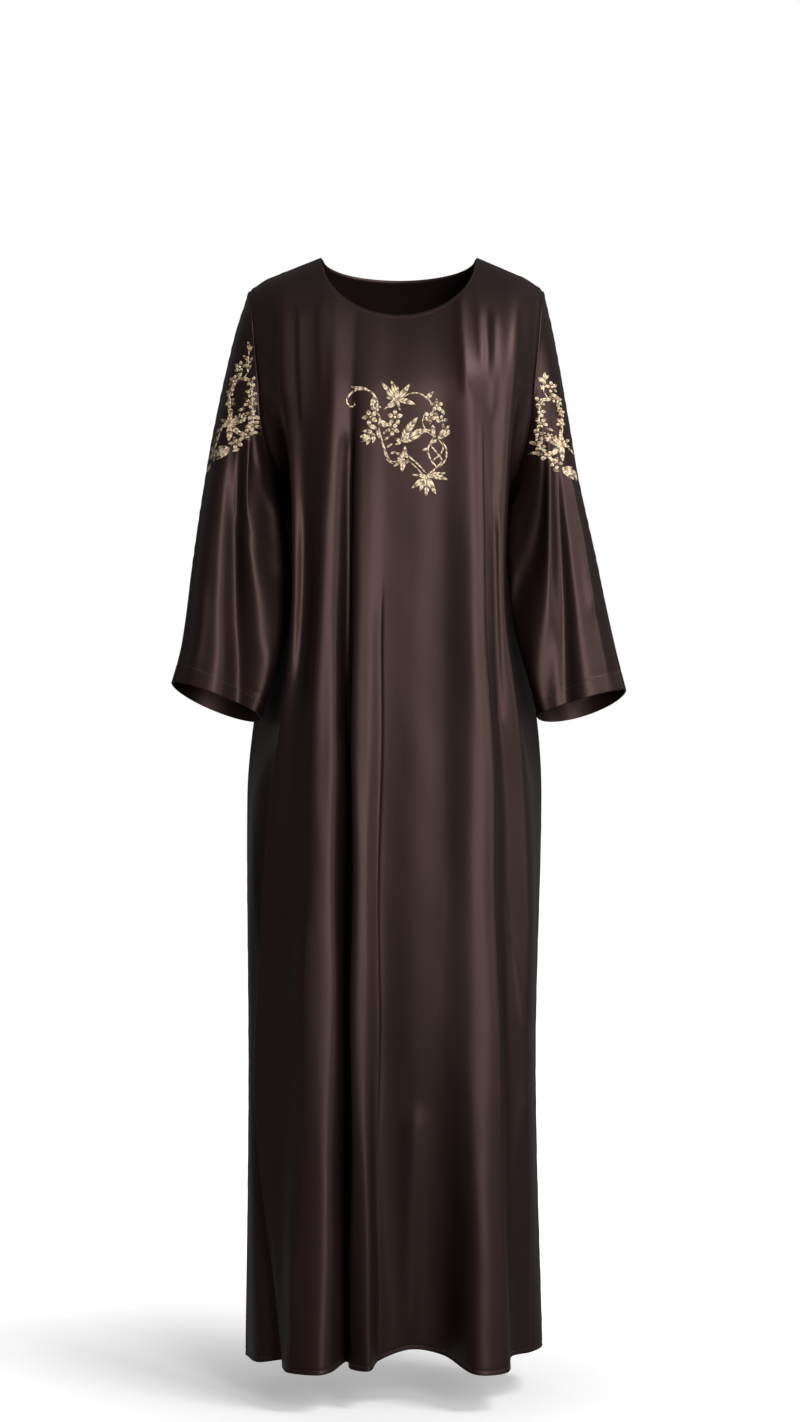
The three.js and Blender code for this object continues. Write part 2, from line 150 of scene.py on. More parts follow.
# Creases of a panel, added to its folds: soft ridges and troughs that run down the cloth.
# path is from side to side and height, and rise is out of the cloth. width is the gentle
# side's, towards the wearer's left unless it is negative, and sharp is the other side's.
CREASE_COLUMNS = ["crease", "path", "width", "rise", "sharp"]
FRONT_CREASES = table(CREASE_COLUMNS, [
    ["shoulder step 1", [(-155, -58), (-152, -130), (-146, -215)], 11, 2.2, 1.6],
    ["shoulder step 2", [(-129, -60), (-127, -150), (-122, -236)], 11, 1.9, 1.6],
    ["shoulder step 3", [(-103, -56), (-102, -120), (-99, -190)], 10, 1.5, 1.8],
    ["left shoulder trough", [(156, -66), (155, -140), (149, -240)], 9, -2.4, 1.8],
    ["left shoulder ridge 1", [(122, -66), (122, -140), (118, -230)], 6, 1.2, 6],
    ["left shoulder trough 2", [(112, -66), (113, -130), (111, -170)], 4, -0.9, 4],
    ["left shoulder ridge 2", [(101, -60), (103, -120), (106, -165)], 5, 1.0, 5],
    ["left chest ridge", [(78, -40), (79, -110), (86, -200)], 7, 2.2, 7],
    ["deep hollow foot", [(-60, -230), (-62, -300), (-63, -450), (-65, -640)], -10, -5.0, 2.5],
    ["left hollow foot", [(121, -330), (123, -450), (128, -620)], 5, -2.2, 4],
    ["strip crease", [(-192, -668), (-189, -769), (-182, -862), (-178, -930)], 4, 1.6, 4],
    [
        "right thigh band",
        [(-120, -850), (-126, -893), (-140, -1019), (-160, -1146), (-166, -1190)],
        9, 2.2, 9,
    ],
    ["right shin band", [(-134, -1250), (-138, -1300), (-141, -1380)], 7, 1.8, 7],
    ["left hip crease", [(133, -820), (137, -855), (147, -893), (165, -1019), (169, -1066)], 3.5, 2.0, 3.5],
    ["left shin band", [(162, -1060), (158, -1090), (144, -1209), (152, -1311), (156, -1350)], 8, 2.2, 8],
    ["right body drag", [(-119, -320), (-122, -430), (-128, -560)], 5, -1.2, 5],
    ["left body drag", [(124, -300), (127, -420), (130, -560)], 6, 1.3, 6],
    ["centre ridge", [(20, -1080), (15, -1240), (12, -1400)], 13, 3.4, 13],
])
# Pressed edges along the fold lines: from and to are heights, gentle is the width of the side
# that falls away slowly, positive towards the wearer's left; the other side is sharp.
PRESSED_COLUMNS = ["line", "from", "to", "gentle", "rise"]
PRESSED_SHARP = 1.3
FRONT_PRESSED = table(PRESSED_COLUMNS, [
    ["right corner", -330, -640, 8, 1.2],
    ["right corner", -600, -1330, 2.2, 1.8],
    ["fold A edge", -300, -1440, 11, 1.0],
    ["pipe B edge", -420, -1440, 9, 0.9],
    ["pipe B foot", -420, -1440, -9, -1.3],
    ["fold C edge", -190, -1440, -4.5, 1.2],
    ["left corner", -330, -1440, -8, 0.8],
])
BACK_PRESSED = table(PRESSED_COLUMNS, [
    ["fold 2 edge", -330, -1440, 11, 1.0],
    ["fold 3 edge", -400, -1440, -11, 1.1],
    ["fold 1", -380, -1200, 9, 0.7],
])
BACK_CREASES = table(CREASE_COLUMNS, [
    ["right blade step", [(-150, -60), (-146, -130), (-138, -220)], 7, 1.6, 7],
    ["right blade trough", [(-134, -64), (-130, -140), (-124, -230)], 6, -1.4, 6],
    ["right blade ridge", [(-112, -50), (-110, -130), (-106, -200)], 6, 1.2, 6],
    ["left blade ridge", [(110, -50), (108, -140), (104, -210)], 6, 1.2, 6],
    ["left blade trough", [(131, -60), (128, -140), (120, -230)], 7, -1.6, 7],
    ["left blade step", [(149, -64), (144, -140), (136, -210)], 6, 1.4, 6],
    ["back drag 1", [(-70, -300), (-73, -430), (-78, -640)], 7, -1.1, 7],
    ["back drag 2", [(36, -280), (42, -470), (52, -700)], 8, -1.2, 8],
    ["right hip crease", [(-128, -800), (-134, -900), (-158, -1060)], 5, 1.8, 5],
    ["right calf band", [(-160, -1090), (-152, -1180), (-156, -1330)], 8, 1.8, 8],
    ["left hip crease", [(118, -780), (128, -900), (150, -1080)], 5, 1.8, 5],
    ["left calf band", [(138, -1120), (128, -1230), (136, -1360)], 8, 2.0, 8],
])

# How far a panel's folds are rounded off, across and down it, how far from its side edges
# that begins, how far from its edges the creases begin, and how soon a crease dies out.
ROUND_ACROSS = 3
ROUND_DOWN = 14
ROUND_EDGE = 16
CREASE_EDGE = 14
CREASE_END = 34
SLEEVE_CREASE_END = 0.08

# Where the armhole is widest, at bust height.
ARMHOLE = {-1: -62, 1: 64}

# The sleeves: their length and their places at the cuff.
SLEEVE_LENGTH = 545
CUFFS = {
    "right": {
        "outer": (-294, -34, -554),
        "inner": (-176, -32, -600),
        "front": (-234, -86, -568),
        "back": (-236, 12, -592),
    },
    "left": {
        "outer": (293, -34, -563),
        "inner": (178, -32, -596),
        "front": (235, -86, -574),
        "back": (237, 12, -598),
    },
}
CUFF_SEAM_TURN = math.radians(26)

# How far the outside of each sleeve bows out, at shares of the way down it.
BOW_HEIGHTS = [0, -0.12, -0.3, -0.5, -0.7, -0.9, -1]
BOWS = {"right": [0, 8, 12, 10, 5, -3, 0], "left": [0, 2, 0, -3, -2, -2, 0]}

# The folds on the front of each sleeve. top and cuff are a fold's places around the sleeve at
# its two ends, rise is how far it stands forward, and reach how far it is drawn to the body.
SLEEVE_FOLD_COLUMNS = ["fold", "top", "cuff", "width", "rise", "reach"]
SLEEVE_FOLDS = {
    "right": table(SLEEVE_FOLD_COLUMNS, [
        ["outer ridge", 0.15, 0.17, 0.1, 4, 0],
        ["hollow", 0.34, 0.58, 0.11, -16, 0],
        ["inner ridge", 0.45, 0.85, 0.1, 8, 0],
        ["inner edge", 0.82, 0.82, 0.14, 0, 34],
    ]),
    "left": table(SLEEVE_FOLD_COLUMNS, [
        ["outer hollow", 0.28, 0.54, 0.08, -8, 0],
        ["ridge", 0.26, 0.86, 0.1, 9, 0],
        ["inner hollow", 0.25, 1.2, 0.08, -6, 0],
        ["inner edge", 0.82, 0.82, 0.14, 7, 26],
    ]),
}

# Just under the armhole each sleeve leans towards the body.
LEAN = {"reach": 5, "around": 0.96, "around_width": 0.1, "down": 0.045, "down_width": 0.055}

# Creases of a sleeve. path is around the sleeve from the overarm seam (front positive, back
# negative, 1 is the underarm seam) and down it from the armhole (0) to the cuff (1).
SLEEVE_CREASES = {
    "right": table(CREASE_COLUMNS, [
        ["upper ridge", [(0.36, 0.1), (0.385, 0.35), (0.44, 0.52)], 0.05, 2.4, 0.05],
        ["elbow dip", [(0.6, 0.1), (0.6, 0.35), (0.58, 0.5)], 0.06, -3.0, 0.06],
        ["elbow ridge", [(0.78, 0.14), (0.8, 0.35), (0.78, 0.5)], 0.06, 2.4, 0.06],
        ["inner drag", [(0.72, 0.2), (0.7, 0.45), (0.76, 0.8)], 0.05, -2.0, 0.05],
        ["elbow pucker", [(0.12, 0.50), (0.07, 0.55), (0.02, 0.58)], 0.03, 1.3, 0.03],
        ["wrist pucker", [(0.10, 0.78), (0.05, 0.8), (0.01, 0.83)], 0.03, 1.2, 0.03],
        ["cuff ridge", [(0.2, 0.7), (0.2, 0.85), (0.18, 1.0)], 0.05, 1.6, 0.05],
        ["back drag 1", [(-0.3, 0.14), (-0.34, 0.5), (-0.3, 0.95)], 0.07, 2.6, 0.07],
        ["back drag 2", [(-0.52, 0.2), (-0.55, 0.5), (-0.52, 1.0)], 0.07, -3.0, 0.07],
        ["back drag 3", [(-0.74, 0.2), (-0.72, 0.6), (-0.76, 1.0)], 0.06, 2.4, 0.06],
    ]),
    "left": table(CREASE_COLUMNS, [
        ["inner ridge", [(0.84, 0.08), (0.88, 0.3), (0.95, 0.5)], -0.06, 6.0, 0.05],
        ["outer ridge", [(0.17, 0.4), (0.15, 0.6), (0.19, 0.82)], 0.06, 4.5, 0.03],
        ["inner drag", [(0.74, 0.2), (0.76, 0.5), (0.8, 0.85)], 0.05, -1.8, 0.05],
        ["elbow pucker", [(0.14, 0.46), (0.08, 0.52), (0.02, 0.56)], 0.03, 1.3, 0.03],
        ["wrist pucker", [(0.12, 0.68), (0.06, 0.74), (0.01, 0.78)], 0.03, 1.4, 0.03],
        ["cuff ridge", [(0.16, 0.7), (0.17, 0.85), (0.17, 1.0)], 0.05, 1.8, 0.05],
        ["back drag 1", [(-0.28, 0.12), (-0.3, 0.5), (-0.34, 1.0)], 0.07, 2.4, 0.07],
        ["back drag 2", [(-0.5, 0.2), (-0.54, 0.55), (-0.55, 1.0)], 0.07, -2.8, 0.07],
        ["back drag 3", [(-0.76, 0.2), (-0.75, 0.6), (-0.73, 1.0)], 0.06, 2.4, 0.06],
    ]),
}


# ---------------------------------------------------------------- the drape of the cloth


def along(heights, values, z):
    """A smooth curve through values given at falling heights, read at one height or many."""
    heights, values = np.asarray(heights, float), np.asarray(values, float)
    z = np.clip(z, heights[-1], heights[0])
    i = np.clip(np.searchsorted(-heights, -z, side="right") - 1, 0, len(heights) - 2)
    place = np.arange(len(heights))
    before, after = np.maximum(place - 1, 0), np.minimum(place + 1, len(heights) - 1)
    slope = (values[after] - values[before]) / (heights[after] - heights[before])
    span = heights[i + 1] - heights[i]
    t = (z - heights[i]) / span
    return (
        values[i] * (2 * t**3 - 3 * t**2 + 1)
        + values[i + 1] * (3 * t**2 - 2 * t**3)
        + slope[i] * span * (t**3 - 2 * t**2 + t)
        + slope[i + 1] * span * (t**3 - t**2)
    )


def section(name, z):
    return along([row["z"] for row in SECTIONS], [row[name] for row in SECTIONS], z)


def fold_place(row, z):
    return along([-h for h in FOLD_HEIGHTS], [row[f"x{h}"] for h in FOLD_HEIGHTS], z)


def fold_out(row, z):
    return along([-h for h in OUT_HEIGHTS], [row[f"out{h}"] for h in OUT_HEIGHTS], z)


def edge(face, side, z):
    """The edge of a panel: the side seam, or above the underarm the armhole."""
    name = "seamR" if side < 0 else "seamL"
    turn = np.arcsin(np.clip((BUST_Z - z) / (BUST_Z - UNDERARM_Z), 0, 1))
    spare = section(name, BUST_Z) - section(name, UNDERARM_Z)
    low = section("seamY", UNDERARM_Z) + face * SEAM_GAP / 2
    above = z > UNDERARM_Z
    x = np.where(above, section(name, UNDERARM_Z) + spare * np.cos(turn) ** 2, section(name, z))
    y = np.where(
        above,
        low + (ARMHOLE[face] - low) * np.cos(turn),
        section("seamY", z) + face * SEAM_GAP / 2,
    )
    return x, y


def knots(face, heights):
    """The knots of a panel's sections. heights has a row for each section."""
    points = np.zeros((*heights.shape, 3))
    points[..., 2] = heights
    last = heights.shape[1] - 1
    for side, k in ((-1, 0), (1, last)):
        points[:, k, 0], points[:, k, 1] = edge(face, side, heights[:, k])
    if face < 0:
        for name, k in (("stripR", 1), ("stripL", last - 1)):
            points[:, k, 0] = section(name, heights[:, k])
            points[:, k, 1] = section(name + "Y", heights[:, k])
    for k, row in enumerate(FRONT_FOLDS if face < 0 else BACK_FOLDS, 2 if face < 0 else 1):
        z = heights[:, k]
        x = fold_place(row, z)
        hanging = np.clip((-330 - z) / 200, 0, 1) * np.clip((z + 1400) / 120, 0, 1)
        wander = 1.6 * np.sin(z / 58 + 1.7 * k) * hanging
        plain = section("front" if face < 0 else "back", z) - section("fall", z) * (np.abs(x) / 165) ** 3
        points[:, k, 0] = x + wander
        points[:, k, 1] = face * (plain + fold_out(row, z))
    return points


def column_shares(cells):
    """Where the columns lie between two knots: closer together beside the knots."""
    even = np.arange(cells) / cells
    return even - COLUMN_EASE * np.sin(2 * math.pi * even) / (2 * math.pi)


def across(points, cells):
    """Curves through rows of knots, the same number of points to each space."""
    ends = 2 * points[:, :1] - points[:, 1:2], 2 * points[:, -1:] - points[:, -2:-1]
    line = np.concatenate([ends[0], points, ends[1]], axis=1)
    step = np.linalg.norm(np.diff(line, axis=1), axis=2, keepdims=True) ** 0.5
    count = points.shape[1] - 1
    a, b, c, d = (line[:, k : k + count, None] for k in range(4))
    da, db, dc = (step[:, k : k + count, None] for k in range(3))
    leave = ((b - a) / da - (c - a) / (da + db) + (c - b) / db) * db
    reach = ((c - b) / db - (d - b) / (db + dc) + (d - c) / dc) * db
    t = column_shares(cells)[None, None, :, None]
    curve = b + t * leave + t**2 * (3 * (c - b) - 2 * leave - reach) + t**3 * (2 * (b - c) + leave + reach)
    return np.concatenate([curve.reshape(len(points), -1, 3), points[:, -1:]], axis=1)


def ridge_height(x):
    tip = np.where(x < 0, SHOULDER["right"][0], SHOULDER["left"][0])
    slope = np.where(x < 0, SHOULDER["right"][1], SHOULDER["left"][1])
    past = np.maximum(np.abs(x) - NECK_HALF, 0)
    rounded = np.maximum(np.abs(x) - tip + 25, 0)
    inside = np.minimum(np.abs(x) / NECK_HALF, 1)
    return NECK_RISE * (1 - inside**2) - slope * past - SHOULDER_ROUND * rounded**2


def evenly(lines, steps):
    """Polylines, one to a column, divided again in equal steps."""
    result = np.zeros((steps + 1, lines.shape[1], 3))
    for c in range(lines.shape[1]):
        run = np.concatenate([[0], np.cumsum(np.linalg.norm(np.diff(lines[:, c], axis=0), axis=1))])
        want = np.linspace(0, run[-1], steps + 1)
        for axis in range(3):
            result[:, c, axis] = np.interp(want, run, lines[:, c, axis])
    return result


def over_shoulder(face, start, top):
    """The columns from bust height up to the neckline or the shoulder seam: quarters of
    ellipses, squarer at the shoulder's end."""
    drop = NECK_FRONT_DROP if face < 0 else NECK_BACK_DROP
    ridge = ridge_height(top)
    outward = (top / SHOULDER["left"][0]) ** 2
    power = 1.22 + 0.78 * outward if face < 0 else 1.8 + 0.2 * outward
    inside = np.abs(top) < NECK_HALF - 0.01
    neckline = -drop * np.sqrt(np.maximum(1 - (top / NECK_HALF) ** 2, 0))
    share = np.clip((neckline - BUST_Z) / (ridge - BUST_Z), 0, 1)
    end = np.where(inside, np.arcsin(share ** (power / 2)), math.pi / 2)
    turn = end * np.linspace(0, 1, 161)[:, None]
    z = BUST_Z + (ridge - BUST_Z) * np.sin(turn) ** (2 / power)
    part = (z - BUST_Z) / (np.where(inside, neckline, ridge) - BUST_Z)
    x = start[:, 0] + (top - start[:, 0]) * part
    seam = face * SEAM_GAP / 2
    y = seam + (start[:, 1] - seam) * np.maximum(np.cos(turn), 0) ** (2 / power)
    return evenly(np.stack([x, y, z], axis=2), SHOULDER_ROWS)


def skirt_shares(lines, length, rows):
    """The heights of rows from an edge up, as shares of the length: some near the edge, then
    even ones. 1 is the edge."""
    above = np.linspace(lines[-1], length, rows + 1)[1:]
    return 1 - np.concatenate([lines, above]) / length


def panel_rows(face):
    """A panel as rows of points from the hem up to the neckline and shoulder seams."""
    folds = FRONT_FOLDS if face < 0 else BACK_FOLDS
    cells = FRONT_CELLS if face < 0 else BACK_CELLS
    strips = ([STRIP_LIFT[-1]], [STRIP_LIFT[1]]) if face < 0 else ([], [])
    lifts = np.array([SEAM_LIFT[-1], *strips[0], *(row["lift"] for row in folds), *strips[1], SEAM_LIFT[1]])
    shares = skirt_shares(HEM_LINES, UNDERARM_Z - HEM_Z, SKIRT_ROWS)[:-1, None]
    skirt = across(knots(face, UNDERARM_Z + (HEM_Z + lifts - UNDERARM_Z) * shares), cells)
    turn = math.pi / 2 * np.arange(ARMHOLE_ROWS, 0, -1) / ARMHOLE_ROWS
    heights = BUST_Z + (UNDERARM_Z - BUST_Z) * np.sin(turn)
    chest = across(knots(face, np.repeat(heights[:, None], len(lifts), axis=1)), cells)
    bust = across(knots(face, np.full((1, len(lifts)), float(BUST_Z))), cells)[0]
    strip = [STRIP_TOP] if face < 0 else []
    fold_tops = (row["top"] for row in folds)
    tops = [-SHOULDER["right"][0], *(-x for x in strip), *fold_tops, *strip, SHOULDER["left"][0]]
    shares = np.append(np.add.outer(np.arange(len(tops) - 1), column_shares(cells)), len(tops) - 1)
    top = np.interp(shares, np.arange(len(tops)), tops)
    return np.concatenate([skirt, chest, over_shoulder(face, bust, top)])


def grid_normals(rows, flip, closed=False):
    """The directions out of the cloth at each point of a grid. Closed rows are a tube's."""
    up = np.gradient(rows, axis=0)
    if closed:
        side = np.roll(rows, -1, axis=1) - np.roll(rows, 1, axis=1)
    else:
        side = np.gradient(rows, axis=1)
    normals = np.cross(side, up) * flip
    return normals / np.maximum(np.linalg.norm(normals, axis=2, keepdims=True), 1e-9)


def fade(x):
    x = np.clip(x, 0, 1)
    return x * x * (3 - 2 * x)


def crease_rise(creases, place, down, ends):
    """How far the creases lift the cloth at places across and down it. ends is the length
    over which a crease dies out at its ends."""
    rise = np.zeros_like(place)
    for crease in creases:
        path = sorted(crease["path"], key=lambda point: point[1])
        lows, highs = path[0][1], path[-1][1]
        line = np.interp(down, [p[1] for p in path], [p[0] for p in path])
        window = fade((down - lows) / ends) * fade((highs - down) / ends)
        rise += crease["rise"] * leaning(place - line, crease["width"], crease["sharp"]) * window
    return rise


def leaning(distance, gentle, sharp):
    """A ridge that falls away gently on one side and sharply on the other."""
    width = np.where(distance * np.sign(gentle) > 0, abs(gentle), sharp)
    return np.exp(-((distance / width) ** 2))


def pressed_rise(face, rows):
    """How far the pressed edges lift a panel: they run along its fold lines."""
    folds, cells = (FRONT_FOLDS, FRONT_CELLS) if face < 0 else (BACK_FOLDS, BACK_CELLS)
    first = 2 if face < 0 else 1
    column = {row["line"]: (first + k) * cells for k, row in enumerate(folds)}
    run, _ = edge_distance(rows, 1)
    rise = np.zeros_like(run)
    for pressed in FRONT_PRESSED if face < 0 else BACK_PRESSED:
        c = column[pressed["line"]]
        z = rows[:, c, 2]
        window = fade((pressed["from"] - z) / 70) * fade((z - pressed["to"]) / 70)
        shape = leaning(run - run[:, c : c + 1], pressed["gentle"], PRESSED_SHARP)
        rise += pressed["rise"] * shape * window[:, None]
    return rise


def unevenness(a, b):
    """The slight waves of hanging satin, by given lengths in millimetres."""
    return (
        0.30 * np.sin(b / 61 + a / 97 + 0.4) * np.sin(a / 33 + 1.1)
        + 0.22 * np.sin(b / 34 - a / 52 + 2.2) * np.sin(a / 21 + b / 140)
        + 0.12 * np.sin(b / 17 + a / 29 + 0.9) * np.sin(a / 13 - b / 75 + 0.5)
    )


def edge_distance(rows, axis):
    """The distance of each point from the nearer end of its row (axis 1) or column (axis 0)."""
    step = np.linalg.norm(np.diff(rows, axis=axis), axis=2)
    run = np.zeros(rows.shape[:2])
    if axis == 1:
        run[:, 1:] = np.cumsum(step, axis=1)
        return run, run[:, -1:] - run
    run[1:] = np.cumsum(step, axis=0)
    return run, run[-1:] - run


def smooth(rows, axis, reach):
    """The grid with its small turns rounded off along its rows (axis 1) or columns (axis 0)."""
    lines = rows if axis == 1 else rows.transpose(1, 0, 2)
    result = np.zeros_like(lines)
    spread = np.exp(-0.5 * (np.arange(-3 * reach, 3 * reach + 1) / reach) ** 2)
    spread /= spread.sum()
    for i, line in enumerate(lines):
        run = np.concatenate([[0], np.cumsum(np.linalg.norm(np.diff(line, axis=0), axis=1))])
        even = np.linspace(0, run[-1], int(run[-1]) + 1)
        for k in range(3):
            padded = np.pad(np.interp(even, run, line[:, k]), 3 * reach, mode="reflect", reflect_type="odd")
            result[i, :, k] = np.interp(run, even, np.convolve(padded, spread, mode="valid"))
    return result if axis == 1 else result.transpose(1, 0, 2)


def seam_swell(distance, along_seam, height=0.7):
    """A low ridge beside a sewn seam, a little puckered; the seam itself stays in its place."""
    pucker = 1 + 0.4 * np.sin(along_seam / 2.9) * np.sin(along_seam / 17 + 1)
    return height * pucker * np.exp(-(((distance - 5.5) / 2.8) ** 2)) * fade(distance / 3)


def drape_panel(face):
    """A panel's outer points and their directions, with creases and seams."""
    rows = panel_rows(face)
    left, right = edge_distance(rows, 1)
    calm = fade(np.minimum(left, right) / ROUND_EDGE)[..., None]
    rows += (smooth(rows, 1, ROUND_ACROSS) - rows) * calm
    rows += (smooth(rows, 0, ROUND_DOWN) - rows) * calm
    normals = grid_normals(rows, -face)
    x, z = rows[..., 0], rows[..., 2]
    facing = np.clip(normals[..., 1] * face * 1.6 - 0.1, 0, 1)
    rise = crease_rise(FRONT_CREASES if face < 0 else BACK_CREASES, x, z, CREASE_END) * facing
    rise += pressed_rise(face, rows)
    rise += unevenness(x + 31 * face, z)
    up, down = edge_distance(rows, 0)
    left, right = edge_distance(rows, 1)
    still = fade(np.minimum(left, right) / CREASE_EDGE) * fade(down / CREASE_EDGE)
    rise *= still
    rise += seam_swell(left, z) + seam_swell(right, z)
    over = np.abs(rows[-1:, :, 0]) > NECK_HALF
    rise += seam_swell(down, x) * over
    rise -= 0.45 * np.exp(-(((up - HEM_SEAM) / 1.6) ** 2))
    rise -= 0.45 * np.exp(-(((down - NECK_SEAM) / 1.8) ** 2)) * ~over
    rows = rows + normals * rise[..., None]
    return rows, grid_normals(rows, -face)


def armhole_edge(rows, side):
    """The armhole edge of a panel, from the shoulder tip down to the underarm."""
    return rows[len(rows) - ARMHOLE_ROWS - SHOULDER_ROWS - 1 :, 0 if side < 0 else -1][::-1]


def sleeve_rings(side, edges):
    """A whole sleeve as closed rows of points from the cuff up to the armhole. Each row runs
    from the overarm seam over the front to the underarm seam and back behind the arm."""
    name = "right" if side < 0 else "left"
    outer, inner, front, back = (np.array(CUFFS[name][k], float) for k in ("outer", "inner", "front", "back"))
    centre = (outer + inner) / 2
    steps = len(edges[0]) - 1
    k = np.arange(2 * steps)
    ahead = k <= steps
    around = np.where(ahead, k / steps, (2 * steps - k) / steps)
    turn = np.where(
        ahead,
        CUFF_SEAM_TURN + (math.pi - CUFF_SEAM_TURN) * around,
        CUFF_SEAM_TURN - (math.pi + CUFF_SEAM_TURN) * around,
    )
    middle = np.where((turn > 0)[:, None], front, back)
    sideways, ahead_or_behind = np.cos(turn)[:, None], np.abs(np.sin(turn))[:, None]
    low = centre + (outer - centre) * sideways + (middle - centre) * ahead_or_behind
    index = np.round(around * steps).astype(int)
    high = np.where(ahead[:, None], edges[0][index], edges[1][index])
    high[[0, steps], 1] += SEAM_GAP / 2
    high[:, 0] += side * SEAM_GAP * 1.3
    down = skirt_shares(CUFF_LINES, SLEEVE_LENGTH, SLEEVE_ROWS)[:, None]
    rings = high[None] * (1 - down[..., None]) + low[None] * down[..., None]
    rings[..., 0] += side * along(BOW_HEIGHTS, BOWS[name], -down) * (1 - around)
    for fold in SLEEVE_FOLDS[name]:
        place = fold["top"] + (fold["cuff"] - fold["top"]) * down
        share = np.exp(-(((around - place) / fold["width"]) ** 2)) * ahead
        rings[..., 1] -= fold["rise"] * share * np.sin(math.pi / 2 * np.minimum(down / 0.6, 1)) ** 2
        rings[..., 0] -= side * fold["reach"] * share * np.sin(math.pi * down**1.15)
    aside = (around - LEAN["around"]) / LEAN["around_width"]
    below = (down - LEAN["down"]) / LEAN["down_width"]
    lean = np.exp(-(aside**2) - below**2) * np.minimum(down / 0.006, 1)
    rings[..., 0] -= side * LEAN["reach"] * lean
    return rings, down, np.where(ahead, around, -around)


def drape_sleeve(side, edges):
    rings, down, around = sleeve_rings(side, edges)
    name = "right" if side < 0 else "left"
    normals = grid_normals(rings, -side, closed=True)
    around = np.repeat(around[None], len(rings), axis=0)
    down = np.repeat(down, around.shape[1], axis=1)
    rise = crease_rise(SLEEVE_CREASES[name], around, down, SLEEVE_CREASE_END)
    rise += unevenness(around * 240 + 57 * side, down * 540)
    rise *= fade(down / 0.03)
    up, to_armhole = edge_distance(rings, 0)
    rise -= 0.5 * np.exp(-(((up - CUFF_SEAM) / 1.8) ** 2))
    step = np.linalg.norm(rings - np.roll(rings, 1, axis=1), axis=2)
    run = np.cumsum(step, axis=1) - step[:, :1]
    total = np.sum(step, axis=1, keepdims=True)
    steps = rings.shape[1] // 2
    under = run[:, steps : steps + 1]
    rise += seam_swell(np.minimum(run, total - run), up, 1.0) + seam_swell(np.abs(run - under), up)
    rise += seam_swell(to_armhole, run) * fade(to_armhole / 2)
    rings = rings + normals * rise[..., None]
    return rings, grid_normals(rings, -side, closed=True)


def sleeve_half(rings, normals, face):
    """The columns of one half of a sleeve, parted from the other half at both seams."""
    count = rings.shape[1]
    steps = count // 2
    columns = np.arange(steps + 1) if face < 0 else (steps + np.arange(steps + 1)) % count
    tangents = np.roll(rings, -1, axis=1) - np.roll(rings, 1, axis=1)
    tangents /= np.linalg.norm(tangents, axis=2, keepdims=True)
    rows = rings[:, columns].copy()
    rows[:, 0] += tangents[:, columns[0]] * SEAM_GAP / 2
    rows[:, -1] -= tangents[:, columns[-1]] * SEAM_GAP / 2
    return rows, normals[:, columns]


# ---------------------------------------------------------------- meshes


def make_piece(name, points, faces, materials, chosen=None):
    """A smooth mesh object from points in millimetres."""
    mesh = bpy.data.meshes.new(name)
    mesh.from_pydata((np.asarray(points) / 1000).tolist(), [], [list(face) for face in faces])
    for material in materials:
        mesh.materials.append(material)
    if chosen is not None:
        mesh.polygons.foreach_set("material_index", chosen)
    mesh.shade_smooth()
    piece = bpy.data.objects.new(name, mesh)
    bpy.context.scene.collection.objects.link(piece)
    return piece


def cloth_wall(name, rows, normals, flip, thickness, material):
    """A sheet of cloth: a grid of outer points and the same grid moved in by the cloth."""
    height, width = rows.shape[:2]
    inner_rows = rows - normals * np.broadcast_to(thickness, (height, width))[..., None]
    for end, beside in ((0, 1), (-1, -2)):
        tuck = rows[:, end] - rows[:, beside]
        inner_rows[:, end] += tuck / np.linalg.norm(tuck, axis=1, keepdims=True) * SEAM_TUCK
    points = np.concatenate([rows.reshape(-1, 3), inner_rows.reshape(-1, 3)])
    outer = np.arange(height * width).reshape(height, width)
    inner = outer + height * width

    def strip(a, b, c, d):
        return np.stack([a.ravel(), b.ravel(), c.ravel(), d.ravel()], axis=1)

    faces = np.concatenate([
        strip(outer[:-1, :-1], outer[:-1, 1:], outer[1:, 1:], outer[1:, :-1]),
        strip(inner[:-1, :-1], inner[1:, :-1], inner[1:, 1:], inner[:-1, 1:]),
        strip(outer[:-1, 0], outer[1:, 0], inner[1:, 0], inner[:-1, 0]),
        strip(outer[1:, -1], outer[:-1, -1], inner[:-1, -1], inner[1:, -1]),
        strip(outer[0, 1:], outer[0, :-1], inner[0, :-1], inner[0, 1:]),
        strip(outer[-1, :-1], outer[-1, 1:], inner[-1, 1:], inner[-1, :-1]),
    ])
    if flip < 0:
        faces = faces[:, ::-1]
    return make_piece(name, points, faces.tolist(), [material])


# The order in which a pad's bands take the gold, cream and bronze threads, and how many rows
# of stitches a band has.
THREAD_ORDER = [1, 0, 1, 2, 0, 1, 1, 0, 2, 1, 0, 1, 2, 0]
BAND_ROWS = 4
# The dark bronze thread. Besides its own bands, it paints shade down one edge of every pad and darkens a
# leaf's mid-rib.
BRONZE_AND_SHADE = 2

# How far the rims of pads and knots are sunk in the cloth.
UNDER = 0.12


